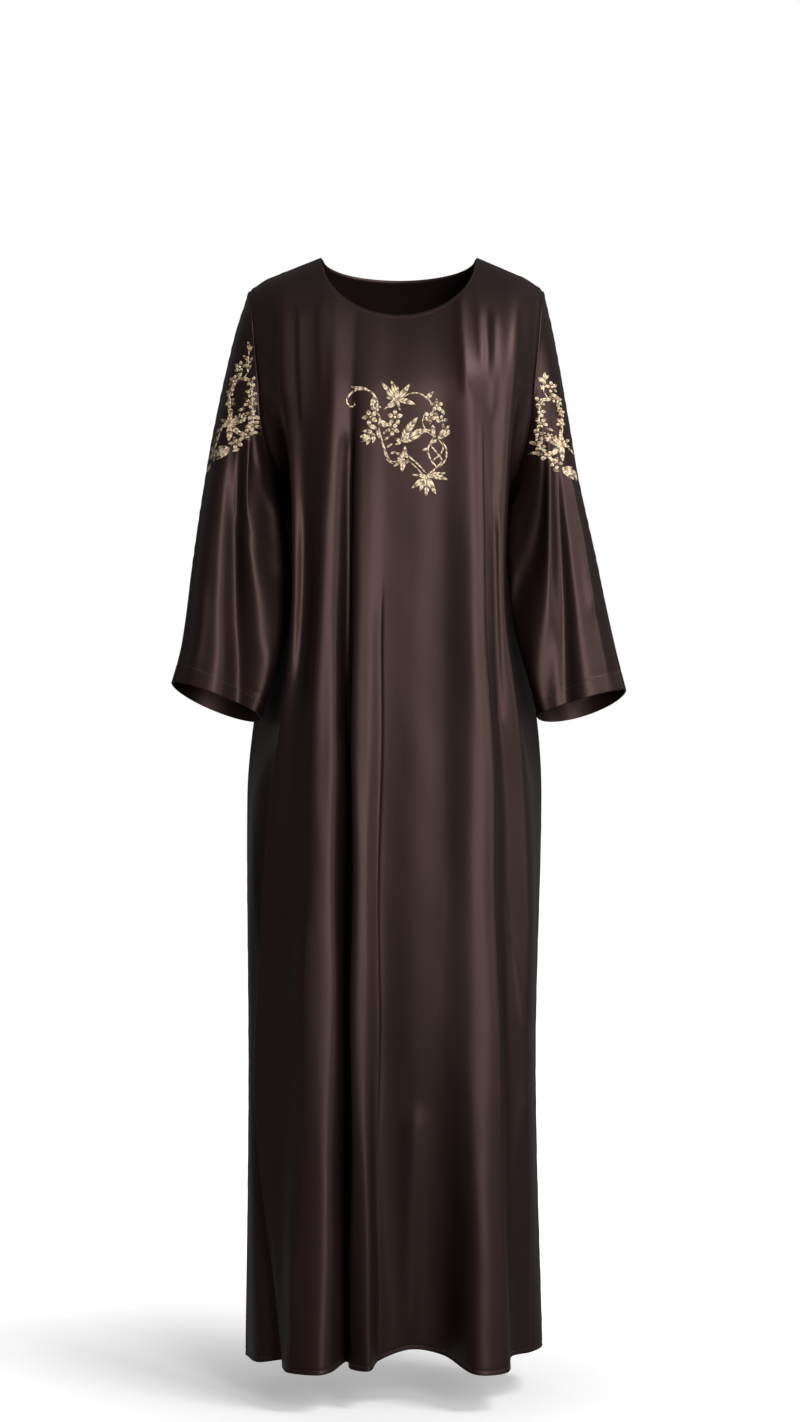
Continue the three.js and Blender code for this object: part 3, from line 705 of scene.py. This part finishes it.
class Sewing:
    """A mesh of raised threads, built up stitch by stitch."""

    def __init__(self):
        self.points, self.faces, self.tones = [], [], []

    def stitch(self, start, end, out, thick):
        """One stitch: a short arched thread between two points of the cloth."""
        way = end - start
        beside = np.cross(way, out)
        beside /= max(np.linalg.norm(beside), 1e-9)
        first = len(self.points)
        for share, arch in ((0.0, 0.35), (0.3, 1.0), (0.7, 1.0), (1.0, 0.35)):
            middle = start + way * share + out * thick * (0.55 * arch - 0.1)
            for turn in (0, 72, 144, 216, 288):
                angle = math.radians(turn)
                ring = beside * math.cos(angle) + out * math.sin(angle) * 0.8
                self.points.append(middle + ring * thick * arch * 0.5)
        for ring in range(3):
            for side in range(5):
                a = first + ring * 5 + side
                b = first + ring * 5 + (side + 1) % 5
                self.faces.append((a, b, b + 5, a + 5))
        self.faces.append(tuple(first + side for side in range(4, -1, -1)))
        self.faces.append(tuple(first + 15 + side for side in range(5)))
        self.tones += [0] * (len(self.faces) - len(self.tones))

    def run(self, line, outs, pitch, length, thick):
        """A row of stitches along a line on the cloth."""
        steps = np.linalg.norm(np.diff(line, axis=0), axis=1)
        travel = np.concatenate([[0], np.cumsum(steps)])
        for at in np.arange(pitch / 2, travel[-1] - length, pitch):
            ends = [
                np.array([np.interp(at + more, travel, line[:, axis]) for axis in range(3)])
                for more in (0, length)
            ]
            out = np.array([np.interp(at + length / 2, travel, outs[:, axis]) for axis in range(3)])
            self.stitch(ends[0], ends[1], out / np.linalg.norm(out), thick)

    def pad(self, grid, outs, heights, tone):
        """A closed pad of satin stitch over a grid of points on the cloth, in bands of thread,
        with painted shade along one side (a dark bronze edge standing in for the shadow between
        leaves) and, in a leaf, a dark mid-rib."""
        first = len(self.points)
        rows, width = grid.shape[:2]
        top = grid + outs * heights[..., None]
        self.points.extend(top.reshape(-1, 3))
        index = first + np.arange(rows * width).reshape(rows, width)
        quads = np.stack(
            [index[:-1, :-1], index[:-1, 1:], index[1:, 1:], index[1:, :-1]], axis=2
        ).reshape(-1, 4)
        self.faces.extend(map(tuple, quads.tolist()))
        start = len(self.faces)
        for row in range(rows - 1):
            band = [THREAD_ORDER[(start + tone * 5 + row // BAND_ROWS) % len(THREAD_ORDER)]] * (width - 1)
            # Painted shade: the first column of every pad takes the dark bronze thread, a shadow side along
            # one edge.
            band[0] = BRONZE_AND_SHADE
            if width % 2 == 0:
                band[width // 2 - 1] = BRONZE_AND_SHADE
            self.tones += band
        rim = [*index[0, ::-1], *index[1:-1, 0], *index[-1], *index[-2:0:-1, -1]]
        self.faces.append(tuple(int(point) for point in rim))
        self.tones.append(tone)

    def piece(self, name, materials):
        return make_piece(name, self.points, self.faces, materials, self.tones)


# ---------------------------------------------------------------- finishes


class Socket:
    """A socket of a finish. Arithmetic on it adds Math nodes."""

    def __init__(self, finish, socket):
        self.finish, self.socket = finish, socket

    def math(self, operation, first, second):
        return self.finish.node("Math", {"operation": operation}, {0: first, 1: second})

    def __add__(self, other):
        return self.math("ADD", self, other)

    def __mul__(self, other):
        return self.math("MULTIPLY", self, other)

    __radd__ = __add__
    __rmul__ = __mul__


class Finish:
    """A material with one Principled shader."""

    def __init__(self, name, **values):
        self.material = bpy.data.materials.new(name)
        self.material.use_nodes = True
        self.tree = self.material.node_tree
        self.shader = self.tree.nodes["Principled BSDF"]
        for socket, value in values.items():
            self.shader.inputs[socket.replace("_", " ")].default_value = value

    def join(self, value, socket):
        if isinstance(value, Socket):
            self.tree.links.new(value.socket, socket)
        else:
            socket.default_value = value

    def node(self, kind, settings=None, values=None, result=0):
        made = self.tree.nodes.new("ShaderNode" + kind)
        for name, value in (settings or {}).items():
            setattr(made, name, value)
        for name, value in (values or {}).items():
            self.join(value, made.inputs[name])
        return Socket(self, made.outputs[result])

    def place(self, scale):
        """Places in the garment's own frame, stretched by a scale for each axis."""
        where = self.node("TexCoord", result="Object")
        return self.node("Mapping", values={"Vector": where, "Scale": scale})

    def noise(self, scale, size, detail=2.0):
        return self.node("TexNoise", values={"Vector": self.place(scale), "Scale": size, "Detail": detail})

    def mix(self, factor, first, second):
        """A colour between two, by a factor."""
        values = {"Factor": factor, "A": first, "B": second}
        return self.node("Mix", {"data_type": "RGBA"}, values, "Result")

    def to(self, **values):
        for socket, value in values.items():
            self.join(value, self.shader.inputs[socket.replace("_", " ")])


def satin():
    finish = Finish("brown_satin", Specular_IOR_Level=0.4, Specular_Tint=(1.0, 0.64, 0.60, 1))
    broad = finish.noise((1, 1, 0.35), 9.0)
    fine = finish.noise((1, 1, 0.2), 60.0, 3.0)
    weave = finish.noise((1, 1, 0.6), 900.0, 1.0)
    colour = finish.mix(broad, (0.008, 0.0044, 0.0042, 1), (0.010, 0.0056, 0.0053, 1))
    relief = fine * 0.5 + weave * 0.12 + broad * 0.8
    bump = finish.node("Bump", values={"Height": relief, "Strength": 0.25, "Distance": 0.0012})
    finish.to(Base_Color=colour, Roughness=0.40 + 0.08 * broad, Normal=bump)
    return finish.material


def thread(name, colour, dark, roughness):
    finish = Finish(name, Specular_IOR_Level=0.6, Sheen_Weight=0.15, Sheen_Roughness=0.4)
    strands = finish.noise((1, 1, 1), 420.0, 2.0)
    tone = finish.mix(strands, dark, colour)
    bump = finish.node("Bump", values={"Height": strands, "Strength": 0.3, "Distance": 0.0003})
    finish.to(Base_Color=tone, Roughness=roughness + 0.1 * strands, Normal=bump)
    return finish.material


# ---------------------------------------------------------------- embroidery


class Ground:
    """The cloth that a motif is sewn on, reached along one direction. A motif's own places
    are millimetres to the right and up from its centre."""

    def __init__(self, tree, centre, turn, lean=0.0, mirror=1, stretch=1.0):
        self.tree, self.mirror, self.lean, self.stretch = tree, mirror, lean, stretch
        self.centre = Vector(centre)
        self.way = Vector((math.sin(turn), math.cos(turn), 0))
        self.right = Vector((math.cos(turn), -math.sin(turn), 0))

    def at(self, u, v):
        """The cloth's point and direction at a place of the motif."""
        u = self.mirror * self.stretch * u + v * self.lean
        start = self.centre + self.right * u + Vector((0, 0, v)) - self.way * 400
        point, normal, _, _ = self.tree.ray_cast(start, self.way)
        if point is None:
            return None
        return np.array(point), np.array(normal)


class Needle:
    """Embroiders satin-stitched leaves, petals and stems on a ground."""

    STITCH = 0.62
    STEM_HEIGHT = 0.7
    LONGEST_STEP = 9

    def __init__(self, ground):
        self.ground = ground
        self.sewing = Sewing()

    def fill(self, places, heights, tone):
        """A pad over a grid of motif places; a pad that would miss the cloth is left out."""
        found = [[self.ground.at(*place) for place in row] for row in places]
        if any(hit is None for row in found for hit in row):
            return
        grid = np.array([[hit[0] for hit in row] for row in found])
        outs = np.array([[hit[1] for hit in row] for row in found])
        if np.max(np.linalg.norm(np.diff(grid, axis=0), axis=2)) > self.LONGEST_STEP:
            return
        if self.ground.mirror < 0:
            grid, outs, heights = grid[:, ::-1], outs[:, ::-1], heights[:, ::-1]
        self.sewing.pad(grid, outs, heights, tone)

    def leaf(self, u, v, angle, length, width, bend=0.0, tone=0, height=0.9):
        """A leaf or petal from its foot at (u, v), its stitches slanting off the mid-rib."""
        stations = max(int(length / self.STITCH), 6)
        t = np.linspace(0, 1, stations + 1)
        heading = math.radians(angle) + bend * (t - 0.5) * 2
        step = length / stations
        rib_u = u + np.concatenate([[0], np.cumsum(np.cos(heading[1:]) * step)])
        rib_v = v + np.concatenate([[0], np.cumsum(np.sin(heading[1:]) * step)])
        spans = np.array([-1, -0.7, -0.36, -0.09, 0.09, 0.36, 0.7, 1])
        places, heights = [], []
        for i in range(stations + 1):
            row, high = [], []
            for j in spans:
                reach = min(t[i] + 0.13 * abs(j), 1)
                at = reach * stations
                foot_u = np.interp(at, np.arange(stations + 1), rib_u)
                foot_v = np.interp(at, np.arange(stations + 1), rib_v)
                half = width / 2 * (math.sin(math.pi * min(reach, 0.999) ** 0.82)) ** 0.8 + 0.12
                if reach == 1:
                    half = 0.12
                lie = np.interp(at, np.arange(stations + 1), heading) + math.pi / 2
                row.append((foot_u + math.cos(lie) * half * j, foot_v + math.sin(lie) * half * j))
                round_off = math.sqrt(max(1 - (abs(j) * 1.9 - 0.95) ** 2, 0.03))
                swell = 0.35 + 0.65 * math.sin(math.pi * min(max(t[i], 0.06), 0.94))
                ridge = 1.0 if i % 2 else 0.66
                high.append(-UNDER if abs(j) == 1 else height * round_off * ridge * swell)
            places.append(row)
            heights.append(high)
        self.fill(places, np.array(heights), tone)

    def stem(self, path, width, tone=0):
        """A stem of slanting stitches along a path of motif places, thinner at its ends."""
        path = np.asarray(path, float)
        fine = across(np.concatenate([path, np.zeros((len(path), 1))], axis=1)[None], 12)[0, :, :2]
        run = np.concatenate([[0], np.cumsum(np.linalg.norm(np.diff(fine, axis=0), axis=1))])
        count = max(int(run[-1] / self.STITCH), 6)
        want = np.linspace(0, run[-1], count + 1)
        line = np.stack([np.interp(want, run, fine[:, axis]) for axis in (0, 1)], axis=1)
        way = np.gradient(line, axis=0)
        way /= np.linalg.norm(way, axis=1, keepdims=True)
        places, heights = [], []
        for i in range(count + 1):
            share = i / count
            half = width / 2 * (0.45 + 0.55 * min(1, 5 * share, 5 * (1 - share)))
            row, high = [], []
            for j in (-1, -0.5, 0, 0.5, 1):
                slide = 0.5 * width * j
                row.append((
                    line[i, 0] - way[i, 1] * half * j + way[i, 0] * slide,
                    line[i, 1] + way[i, 0] * half * j + way[i, 1] * slide,
                ))
                ridge = 1.0 if i % 2 else 0.6
                high.append(-UNDER if abs(j) == 1 else self.STEM_HEIGHT * (1 - 0.35 * abs(j)) * ridge)
            places.append(row)
            heights.append(high)
        self.fill(places, np.array(heights), tone)

    def bloom(self, u, v, radius, petals=5, turn=0.0, tone=0):
        """A small blossom: petals round a knot."""
        for k in range(petals):
            angle = turn + 360 * k / petals
            away = 0.24 * radius
            foot = u + away * math.cos(math.radians(angle)), v + away * math.sin(math.radians(angle))
            self.leaf(*foot, angle, radius * 0.8, radius * 0.66, 0.08, (tone + k % 2) % 2, 0.8)
        self.knot(u, v, radius * 0.2, 1 - tone)

    def knot(self, u, v, radius, tone=0):
        """A round knot of thread."""
        rings = [(0.12, 1.0), (0.6, 0.8), (0.95, 0.35), (1.05, -UNDER)]
        turns = np.linspace(0, 2 * math.pi, 9)[:-1]
        places = [
            [(u + r * radius * math.cos(turn), v + r * radius * math.sin(turn)) for turn in turns]
            for r, _ in rings
        ]
        found = [[self.ground.at(*place) for place in row] for row in places]
        if any(hit is None for row in found for hit in row):
            return
        first = len(self.sewing.points)
        for row, (_, rise) in zip(found, rings):
            for point, out in row:
                self.sewing.points.append(point + out * (radius * 0.9 * rise if rise > 0 else rise))
        flip = self.ground.mirror
        for ring in range(3):
            for side in range(8):
                a, b = first + ring * 8 + side, first + ring * 8 + (side + 1) % 8
                face = (a, a + 8, b + 8, b)
                self.sewing.faces.append(face if flip > 0 else face[::-1])
                self.sewing.tones.append(tone)
        for ring, order in ((0, range(8)), (3, range(7, -1, -1))):
            face = tuple(first + ring * 8 + side for side in order)
            self.sewing.faces.append(face if flip > 0 else face[::-1])
            self.sewing.tones.append(tone)

    def lobed_leaf(self, u, v, angle, length, tone=0):
        """A leaf cut in lobes: pairs of small leaves along a rib, and one at the tip."""
        along_u, along_v = length * math.cos(math.radians(angle)), length * math.sin(math.radians(angle))
        for share, spread, size in ((0.08, 62, 0.46), (0.34, 50, 0.5), (0.6, 38, 0.42)):
            foot = u + share * along_u, v + share * along_v
            self.leaf(*foot, angle + spread, length * size, length * 0.24, -0.15, tone)
            self.leaf(*foot, angle - spread, length * size, length * 0.24, 0.15, 1 - tone)
        self.leaf(u + 0.5 * along_u, v + 0.5 * along_v, angle, length * 0.52, length * 0.26, 0, tone)

    def spray(self, u, v, leaves, tone=0):
        """Leaves that spring from one place, given as angle, length and width."""
        for k, (angle, length, width) in enumerate(leaves):
            self.leaf(u, v, angle, length, width, 0.12 if k % 2 else -0.12, (tone + k) % 2)


def chest_motif(needle):
    """An open wreath: sprays above and below right, a scroll, blossoms and twisted stems."""
    scroll = [
        (-29, 36), (-28, 47), (-36, 59), (-50, 63), (-62, 57), (-67, 48), (-63, 41), (-57, 42), (-57, 47),
    ]
    needle.stem(scroll, 3.4)
    needle.leaf(-40, 63, 172, 22, 5.5, -0.15, 1)
    needle.leaf(-31, 55, -104, 19, 7.5, 0.12, 0)
    needle.leaf(-34, 42, -70, 12, 5, 0.1, 1)
    needle.spray(-3, 49, [
        (131, 30, 8.5), (107, 26, 8.5), (86, 17, 6), (52, 26, 8),
        (-14, 24, 8), (-74, 14, 4), (166, 14, 6), (212, 15, 6),
    ])
    needle.stem([(4, 52), (14, 57), (25, 57), (36, 50), (41, 44)], 2.4, 1)
    needle.leaf(33, 50, 44, 14, 6.5, 0.1, 0)
    needle.bloom(47, 42, 8.5, 5, 20)
    needle.bloom(38, 27, 8.5, 5, 60, 1)
    needle.leaf(45, 34, -75, 15, 5.5, 0, 0)
    needle.leaf(53, 38, -64, 9, 4, 0.1, 1)
    needle.bloom(54, 23, 7, 4, 10)
    needle.bloom(59, 12, 6, 4, 50, 1)
    needle.leaf(42, 18, -86, 17, 6, 0.05, 1)
    needle.stem([(33, 34), (29, 22), (34, 10), (45, 2)], 1.8, 1)
    needle.spray(49, 0, [(28, 18, 7), (64, 14, 5), (-152, 14, 4)], 1)
    needle.stem([(46, 4), (39, -6), (47, -18), (53, -27), (46, -37), (36, -44)], 2.6)
    needle.stem([(49, 0), (55, -10), (51, -20), (42, -28), (46, -37), (34, -46)], 2.4, 1)
    needle.stem([(42, -2), (36, -12), (38, -24), (42, -32)], 3.0, 0)
    needle.stem([(55, -4), (59, -14), (58, -26), (51, -35)], 3.0, 1)
    needle.leaf(36, -12, -160, 8, 3.6, 0, 1)
    needle.spray(34, -46, [
        (-139, 25, 8.5), (-112, 22, 8), (-92, 27, 9), (-63, 27, 8.5),
        (-12, 28, 8), (7, 25, 6.5), (178, 18, 4.5),
    ])
    needle.stem([(33, -43), (24, -33), (15, -25), (8, -18)], 3.0, 1)
    needle.stem([(30, -46), (21, -36), (13, -29)], 2.0, 0)
    needle.lobed_leaf(12, -24, 196, 16, 1)
    needle.spray(6, -24, [(84, 15, 7), (-100, 19, 8), (-140, 17, 6.5), (150, 14, 5)])
    needle.stem([(-2, -29), (-11, -28), (-17, -17), (-21, -5), (-25, 8), (-26, 15)], 2.6)
    needle.stem([(-6, -33), (-15, -27), (-20, -12), (-24, 2)], 2.2, 1)
    for k, (u, v) in enumerate([(-13, -20), (-16, -11), (-19, -2), (-21, 6)]):
        needle.leaf(u, v, 28 + 6 * k, 9, 3.2, 0.1, k % 2)
    needle.lobed_leaf(-27, 14, 222, 27, 0)
    needle.bloom(-37, 27, 10, 5, 40, 1)
    needle.bloom(-29, 40, 5.5, 5, 0, 0)
    needle.bloom(-6, 27, 10, 5, 15, 0)
    needle.bloom(-9, 12, 9, 5, 50, 1)
    needle.leaf(-25, 17, 4, 15, 5.5, 0.1, 1)
    needle.leaf(-27, 23, -20, 14, 5, 0.1, 0)
    needle.stem([(-28, 33), (-25, 26), (-27, 17)], 3.0, 1)
    needle.stem([(-22, 36), (-15, 40), (-8, 46)], 2.0, 0)
    needle.leaf(-16, 40, 20, 13, 6, 0.1, 1)
    needle.spray(2, -4, [(56, 38, 11), (27, 35, 12), (205, 8, 4), (150, 9, 5)], 0)
    needle.leaf(18, 10, 2, 22, 6.5, 0.15, 1)


def sleeve_garland(needle, long_tail):
    """A tall oval garland of blossoms and leaves for the upper sleeve."""
    top = 84 if long_tail else 70
    needle.stem([(6, top), (7, 66), (8, 50), (3, 40)], 2.0, 1)
    for k, (u, v) in enumerate([(6, top - 6), (8, 64), (7, 54)]):
        needle.leaf(u, v, 100 + 40 * (k % 2), 11, 5, 0.1, k % 2)
        needle.leaf(u, v - 4, 62, 9, 4.5, -0.1, 1 - k % 2)
    needle.bloom(-3, 56, 8, 5, 10)
    needle.leaf(2, 47, 200, 15, 6, 0.1, 1)
    needle.stem([(2, 44), (-8, 36), (-12, 20), (-11, 2), (-6, -14)], 2.4, 0)
    for k, (u, v, size) in enumerate([(-9, 38, 7.5), (-12, 24, 6.5), (-10, 10, 7)]):
        needle.bloom(u, v, size, 5, 25 * k, k % 2)
        needle.leaf(u + 1, v - 7, -100 + 15 * k, 9, 4.5, 0.1, 1 - k % 2)
    needle.leaf(-1, 40, -8, 14, 5.5, -0.2, 0)
    needle.stem([(4, 42), (12, 34), (15, 18), (17, 0), (18, -16), (10, -32), (-4, -44)], 2.6, 1)
    inner_blooms = [
        (14, 36, 7), (15, 23, 7.5), (14, 9, 7.5), (18, -6, 8), (18, -20, 7.5), (12, -32, 8), (2, -42, 8),
    ]
    for k, (u, v, size) in enumerate(inner_blooms):
        needle.bloom(u, v, size, 5, 31 * k, (k + 1) % 2)
    inner_leaves = [
        (19, 30, 58), (20, 15, -20), (9, 2, 200), (22, -13, 12),
        (11, -13, 190), (17, -27, -28), (6, -50, 200),
    ]
    for k, (u, v, angle) in enumerate(inner_leaves):
        needle.leaf(u, v, angle, 8.5, 4.2, 0.1, k % 2)
    needle.spray(-8, -18, [
        (86, 17, 7), (40, 15, 7), (8, 15, 7), (-42, 24, 7), (-86, 22, 8), (150, 15, 6), (190, 12, 5),
    ])
    needle.lobed_leaf(-2, -14, 28, 15, 1)
    needle.stem([(-14, -16), (-20, -30), (-24, -44), (-30, -56)], 2.2, 0)
    for k, (u, v) in enumerate([(-16, -22), (-20, -32), (-23, -42)]):
        needle.leaf(u, v, 210 + 12 * k, 13, 4.6, 0.15, k % 2)
    needle.spray(-4, -50, [(186, 24, 7.5), (204, 26, 7), (222, 20, 6), (168, 16, 5)], 1)
    needle.spray(-24, -50, [(160, 12, 6), (196, 14, 6.5), (232, 16, 6), (270, 15, 5)])
    needle.leaf(-30, -66, 250, 12, 5, 0, 1)


# ---------------------------------------------------------------- the garment

brown_satin = satin()
gold_thread = thread("gold_thread", (0.52, 0.37, 0.19, 1), (0.28, 0.18, 0.09, 1), 0.34)
cream_thread = thread("cream_thread", (0.90, 0.77, 0.54, 1), (0.62, 0.47, 0.28, 1), 0.32)
bronze_thread = thread("bronze_thread", (0.12, 0.072, 0.035, 1), (0.045, 0.027, 0.017, 1), 0.4)
brown_thread = thread("brown_thread", (0.045, 0.028, 0.026, 1), (0.028, 0.017, 0.016, 1), 0.36)

drapes = {face: drape_panel(face) for face in (-1, 1)}
surfaces, garment = {}, {}
stitched_edges = ("hem_stitching", "neck_stitching", "right_cuff_stitching", "left_cuff_stitching")
sewing = {name: Sewing() for name in stitched_edges}


def cloth_by_row(rows, turned):
    """The cloth's thickness row by row: a turned hem is thicker."""
    up, _ = edge_distance(rows, 0)
    return np.where(up < turned, HEM_CLOTH, CLOTH)


for face, (rows, normals) in drapes.items():
    name = "front_panel" if face < 0 else "back_panel"
    garment[name] = cloth_wall(name, rows, normals, -face, cloth_by_row(rows, HEM_TURNED), brown_satin)
    surfaces[name] = rows, -face
    seam_row = HEM_LINES.index(HEM_SEAM)
    sewing["hem_stitching"].run(rows[seam_row], normals[seam_row], 4.2, 3.1, THREAD_THICK)
    _, down = edge_distance(rows, 0)
    columns = np.flatnonzero(np.abs(rows[-1, :, 0]) <= NECK_HALF)
    neck, outs = (
        np.array([
            [np.interp(NECK_SEAM, down[::-1, c], grid[::-1, c, axis]) for axis in range(3)]
            for c in columns
        ])
        for grid in (rows, normals)
    )
    sewing["neck_stitching"].run(neck, outs, 4.0, 2.9, THREAD_THICK)

for side, name in ((-1, "right"), (1, "left")):
    edges = [armhole_edge(drapes[face][0], side) for face in (-1, 1)]
    rings, ring_normals = drape_sleeve(side, edges)
    for face, half in ((-1, "front"), (1, "back")):
        rows, normals = sleeve_half(rings, ring_normals, face)
        piece_name = f"{name}_sleeve_{half}"
        thickness = cloth_by_row(rows, CUFF_TURNED)
        garment[piece_name] = cloth_wall(piece_name, rows, normals, -side, thickness, brown_satin)
        surfaces[piece_name] = rows, -side
        seam_row = CUFF_LINES.index(CUFF_SEAM)
        sewing[f"{name}_cuff_stitching"].run(rows[seam_row], normals[seam_row], 4.0, 2.9, THREAD_THICK)


def outside(name):
    """A tree of a piece's outer faces, for the needle to find the cloth."""
    rows, flip = surfaces[name]
    height, width = rows.shape[:2]
    index = np.arange(height * width).reshape(height, width)
    quads = np.stack([index[:-1, :-1], index[:-1, 1:], index[1:, 1:], index[1:, :-1]], axis=2).reshape(-1, 4)
    faces = quads if flip > 0 else quads[:, ::-1]
    return BVHTree.FromPolygons(rows.reshape(-1, 3).tolist(), faces.tolist())


motifs = {
    "chest_embroidery": Needle(Ground(outside("front_panel"), (0.6, 0, -246), 0)),
    "right_sleeve_embroidery": Needle(
        Ground(outside("right_sleeve_front"), (-186, 0, -204), math.radians(20), 0.06, 1, 1.2)
    ),
    "left_sleeve_embroidery": Needle(
        Ground(outside("left_sleeve_front"), (177, 0, -230), math.radians(-20), -0.06, -1, 1.25)
    ),
}
chest_motif(motifs["chest_embroidery"])
sleeve_garland(motifs["right_sleeve_embroidery"], True)
sleeve_garland(motifs["left_sleeve_embroidery"], False)
gilt = [gold_thread, cream_thread, bronze_thread]
embroidery = {name: needle.sewing.piece(name, gilt) for name, needle in motifs.items()}
stitching = {name: threads.piece(name, [brown_thread]) for name, threads in sewing.items()}

for name, piece in garment.items():
    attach(piece, "root")
    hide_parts(name)
for piece in embroidery.values():
    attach(piece, "root")
for piece in stitching.values():
    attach(piece, "root")


# ---------------------------------------------------------------- floor, light and camera


def stage_piece(name, mesh, finish):
    """A piece of the studio. It shows, and takes the garment's shadow, but throws no light."""
    mesh.materials.append(finish.material)
    piece = bpy.data.objects.new(name, mesh)
    piece.visible_diffuse = piece.visible_glossy = False
    bpy.context.scene.collection.objects.link(piece)
    return piece


def floor():
    finish = Finish(
        "pale_floor",
        Base_Color=(0.7, 0.7, 0.7, 1),
        Roughness=0.8,
        Specular_IOR_Level=0.0,
        Emission_Strength=1.0,
    )
    # Painted light and shade: the floor glows, dimly under the garment and fully white from about a metre
    # out. The far floor reads white, and the floor round the garment stays darker, together with its real
    # shadow.
    away = finish.node("VectorMath", {"operation": "LENGTH"}, {"Vector": finish.place((1, 1, 0))}, "Value")
    painted_glow_by_distance = finish.node("Math", {"operation": "MULTIPLY_ADD", "use_clamp": True}, {0: away, 1: 1.1, 2: -0.2})
    finish.to(Emission_Color=finish.mix(painted_glow_by_distance, (0.36, 0.36, 0.36, 1), (1, 1, 1, 1)))
    mesh = bpy.data.meshes.new("floor")
    corners = [(-20, -20), (20, -20), (20, 20), (-20, 20)]
    mesh.from_pydata([(x, y, -1.477) for x, y in corners], [], [(0, 1, 2, 3)])
    return stage_piece("floor", mesh, finish)


def backdrop():
    finish = Finish(
        "pale_backdrop",
        Base_Color=(0, 0, 0, 1),
        Specular_IOR_Level=0.0,
        Emission_Color=(1, 1, 1, 1),
        Emission_Strength=1.0,
    )
    ball = bmesh.new()
    bmesh.ops.create_uvsphere(ball, u_segments=48, v_segments=24, radius=16)
    mesh = bpy.data.meshes.new("backdrop")
    ball.to_mesh(mesh)
    ball.free()
    stage_piece("backdrop", mesh, finish).visible_shadow = False


def soft_light(name, place, aim, width, height, power):
    lamp = bpy.data.lights.new(name, "AREA")
    lamp.shape, lamp.size, lamp.size_y, lamp.energy = "RECTANGLE", width, height, power
    held = bpy.data.objects.new(name, lamp)
    held.location = place
    held.rotation_mode = "QUATERNION"
    held.rotation_quaternion = (Vector(aim) - Vector(place)).to_track_quat("-Z", "Y")
    bpy.context.scene.collection.objects.link(held)


floor()
backdrop()
soft_light("key", (1.1, -3.5, -0.1), (0, 0, -0.7), 0.8, 2.6, 88)
soft_light("above", (1.9, -2.0, 2.1), (0, 0, -0.25), 1.4, 1.4, 100)
soft_light("right", (3.2, -1.5, 0.2), (0, 0, -0.7), 1.4, 2.2, 35)

world = bpy.data.worlds.new("studio")
world.use_nodes = True
world.node_tree.nodes["Background"].inputs["Color"].default_value = (1, 1, 1, 1)
world.node_tree.nodes["Background"].inputs["Strength"].default_value = 0.15
bpy.context.scene.world = world
bpy.context.scene.view_settings.view_transform = "Standard"

lens = bpy.data.cameras.new("camera")
lens.sensor_width = 36
lens.lens = 18 / (924.3 / 4500)
camera = bpy.data.objects.new("camera", lens)
camera.location = (0.0013, -4.5, -0.590)
camera.rotation_euler = (math.pi / 2, 0, 0)
bpy.context.scene.collection.objects.link(camera)
bpy.context.scene.camera = camera
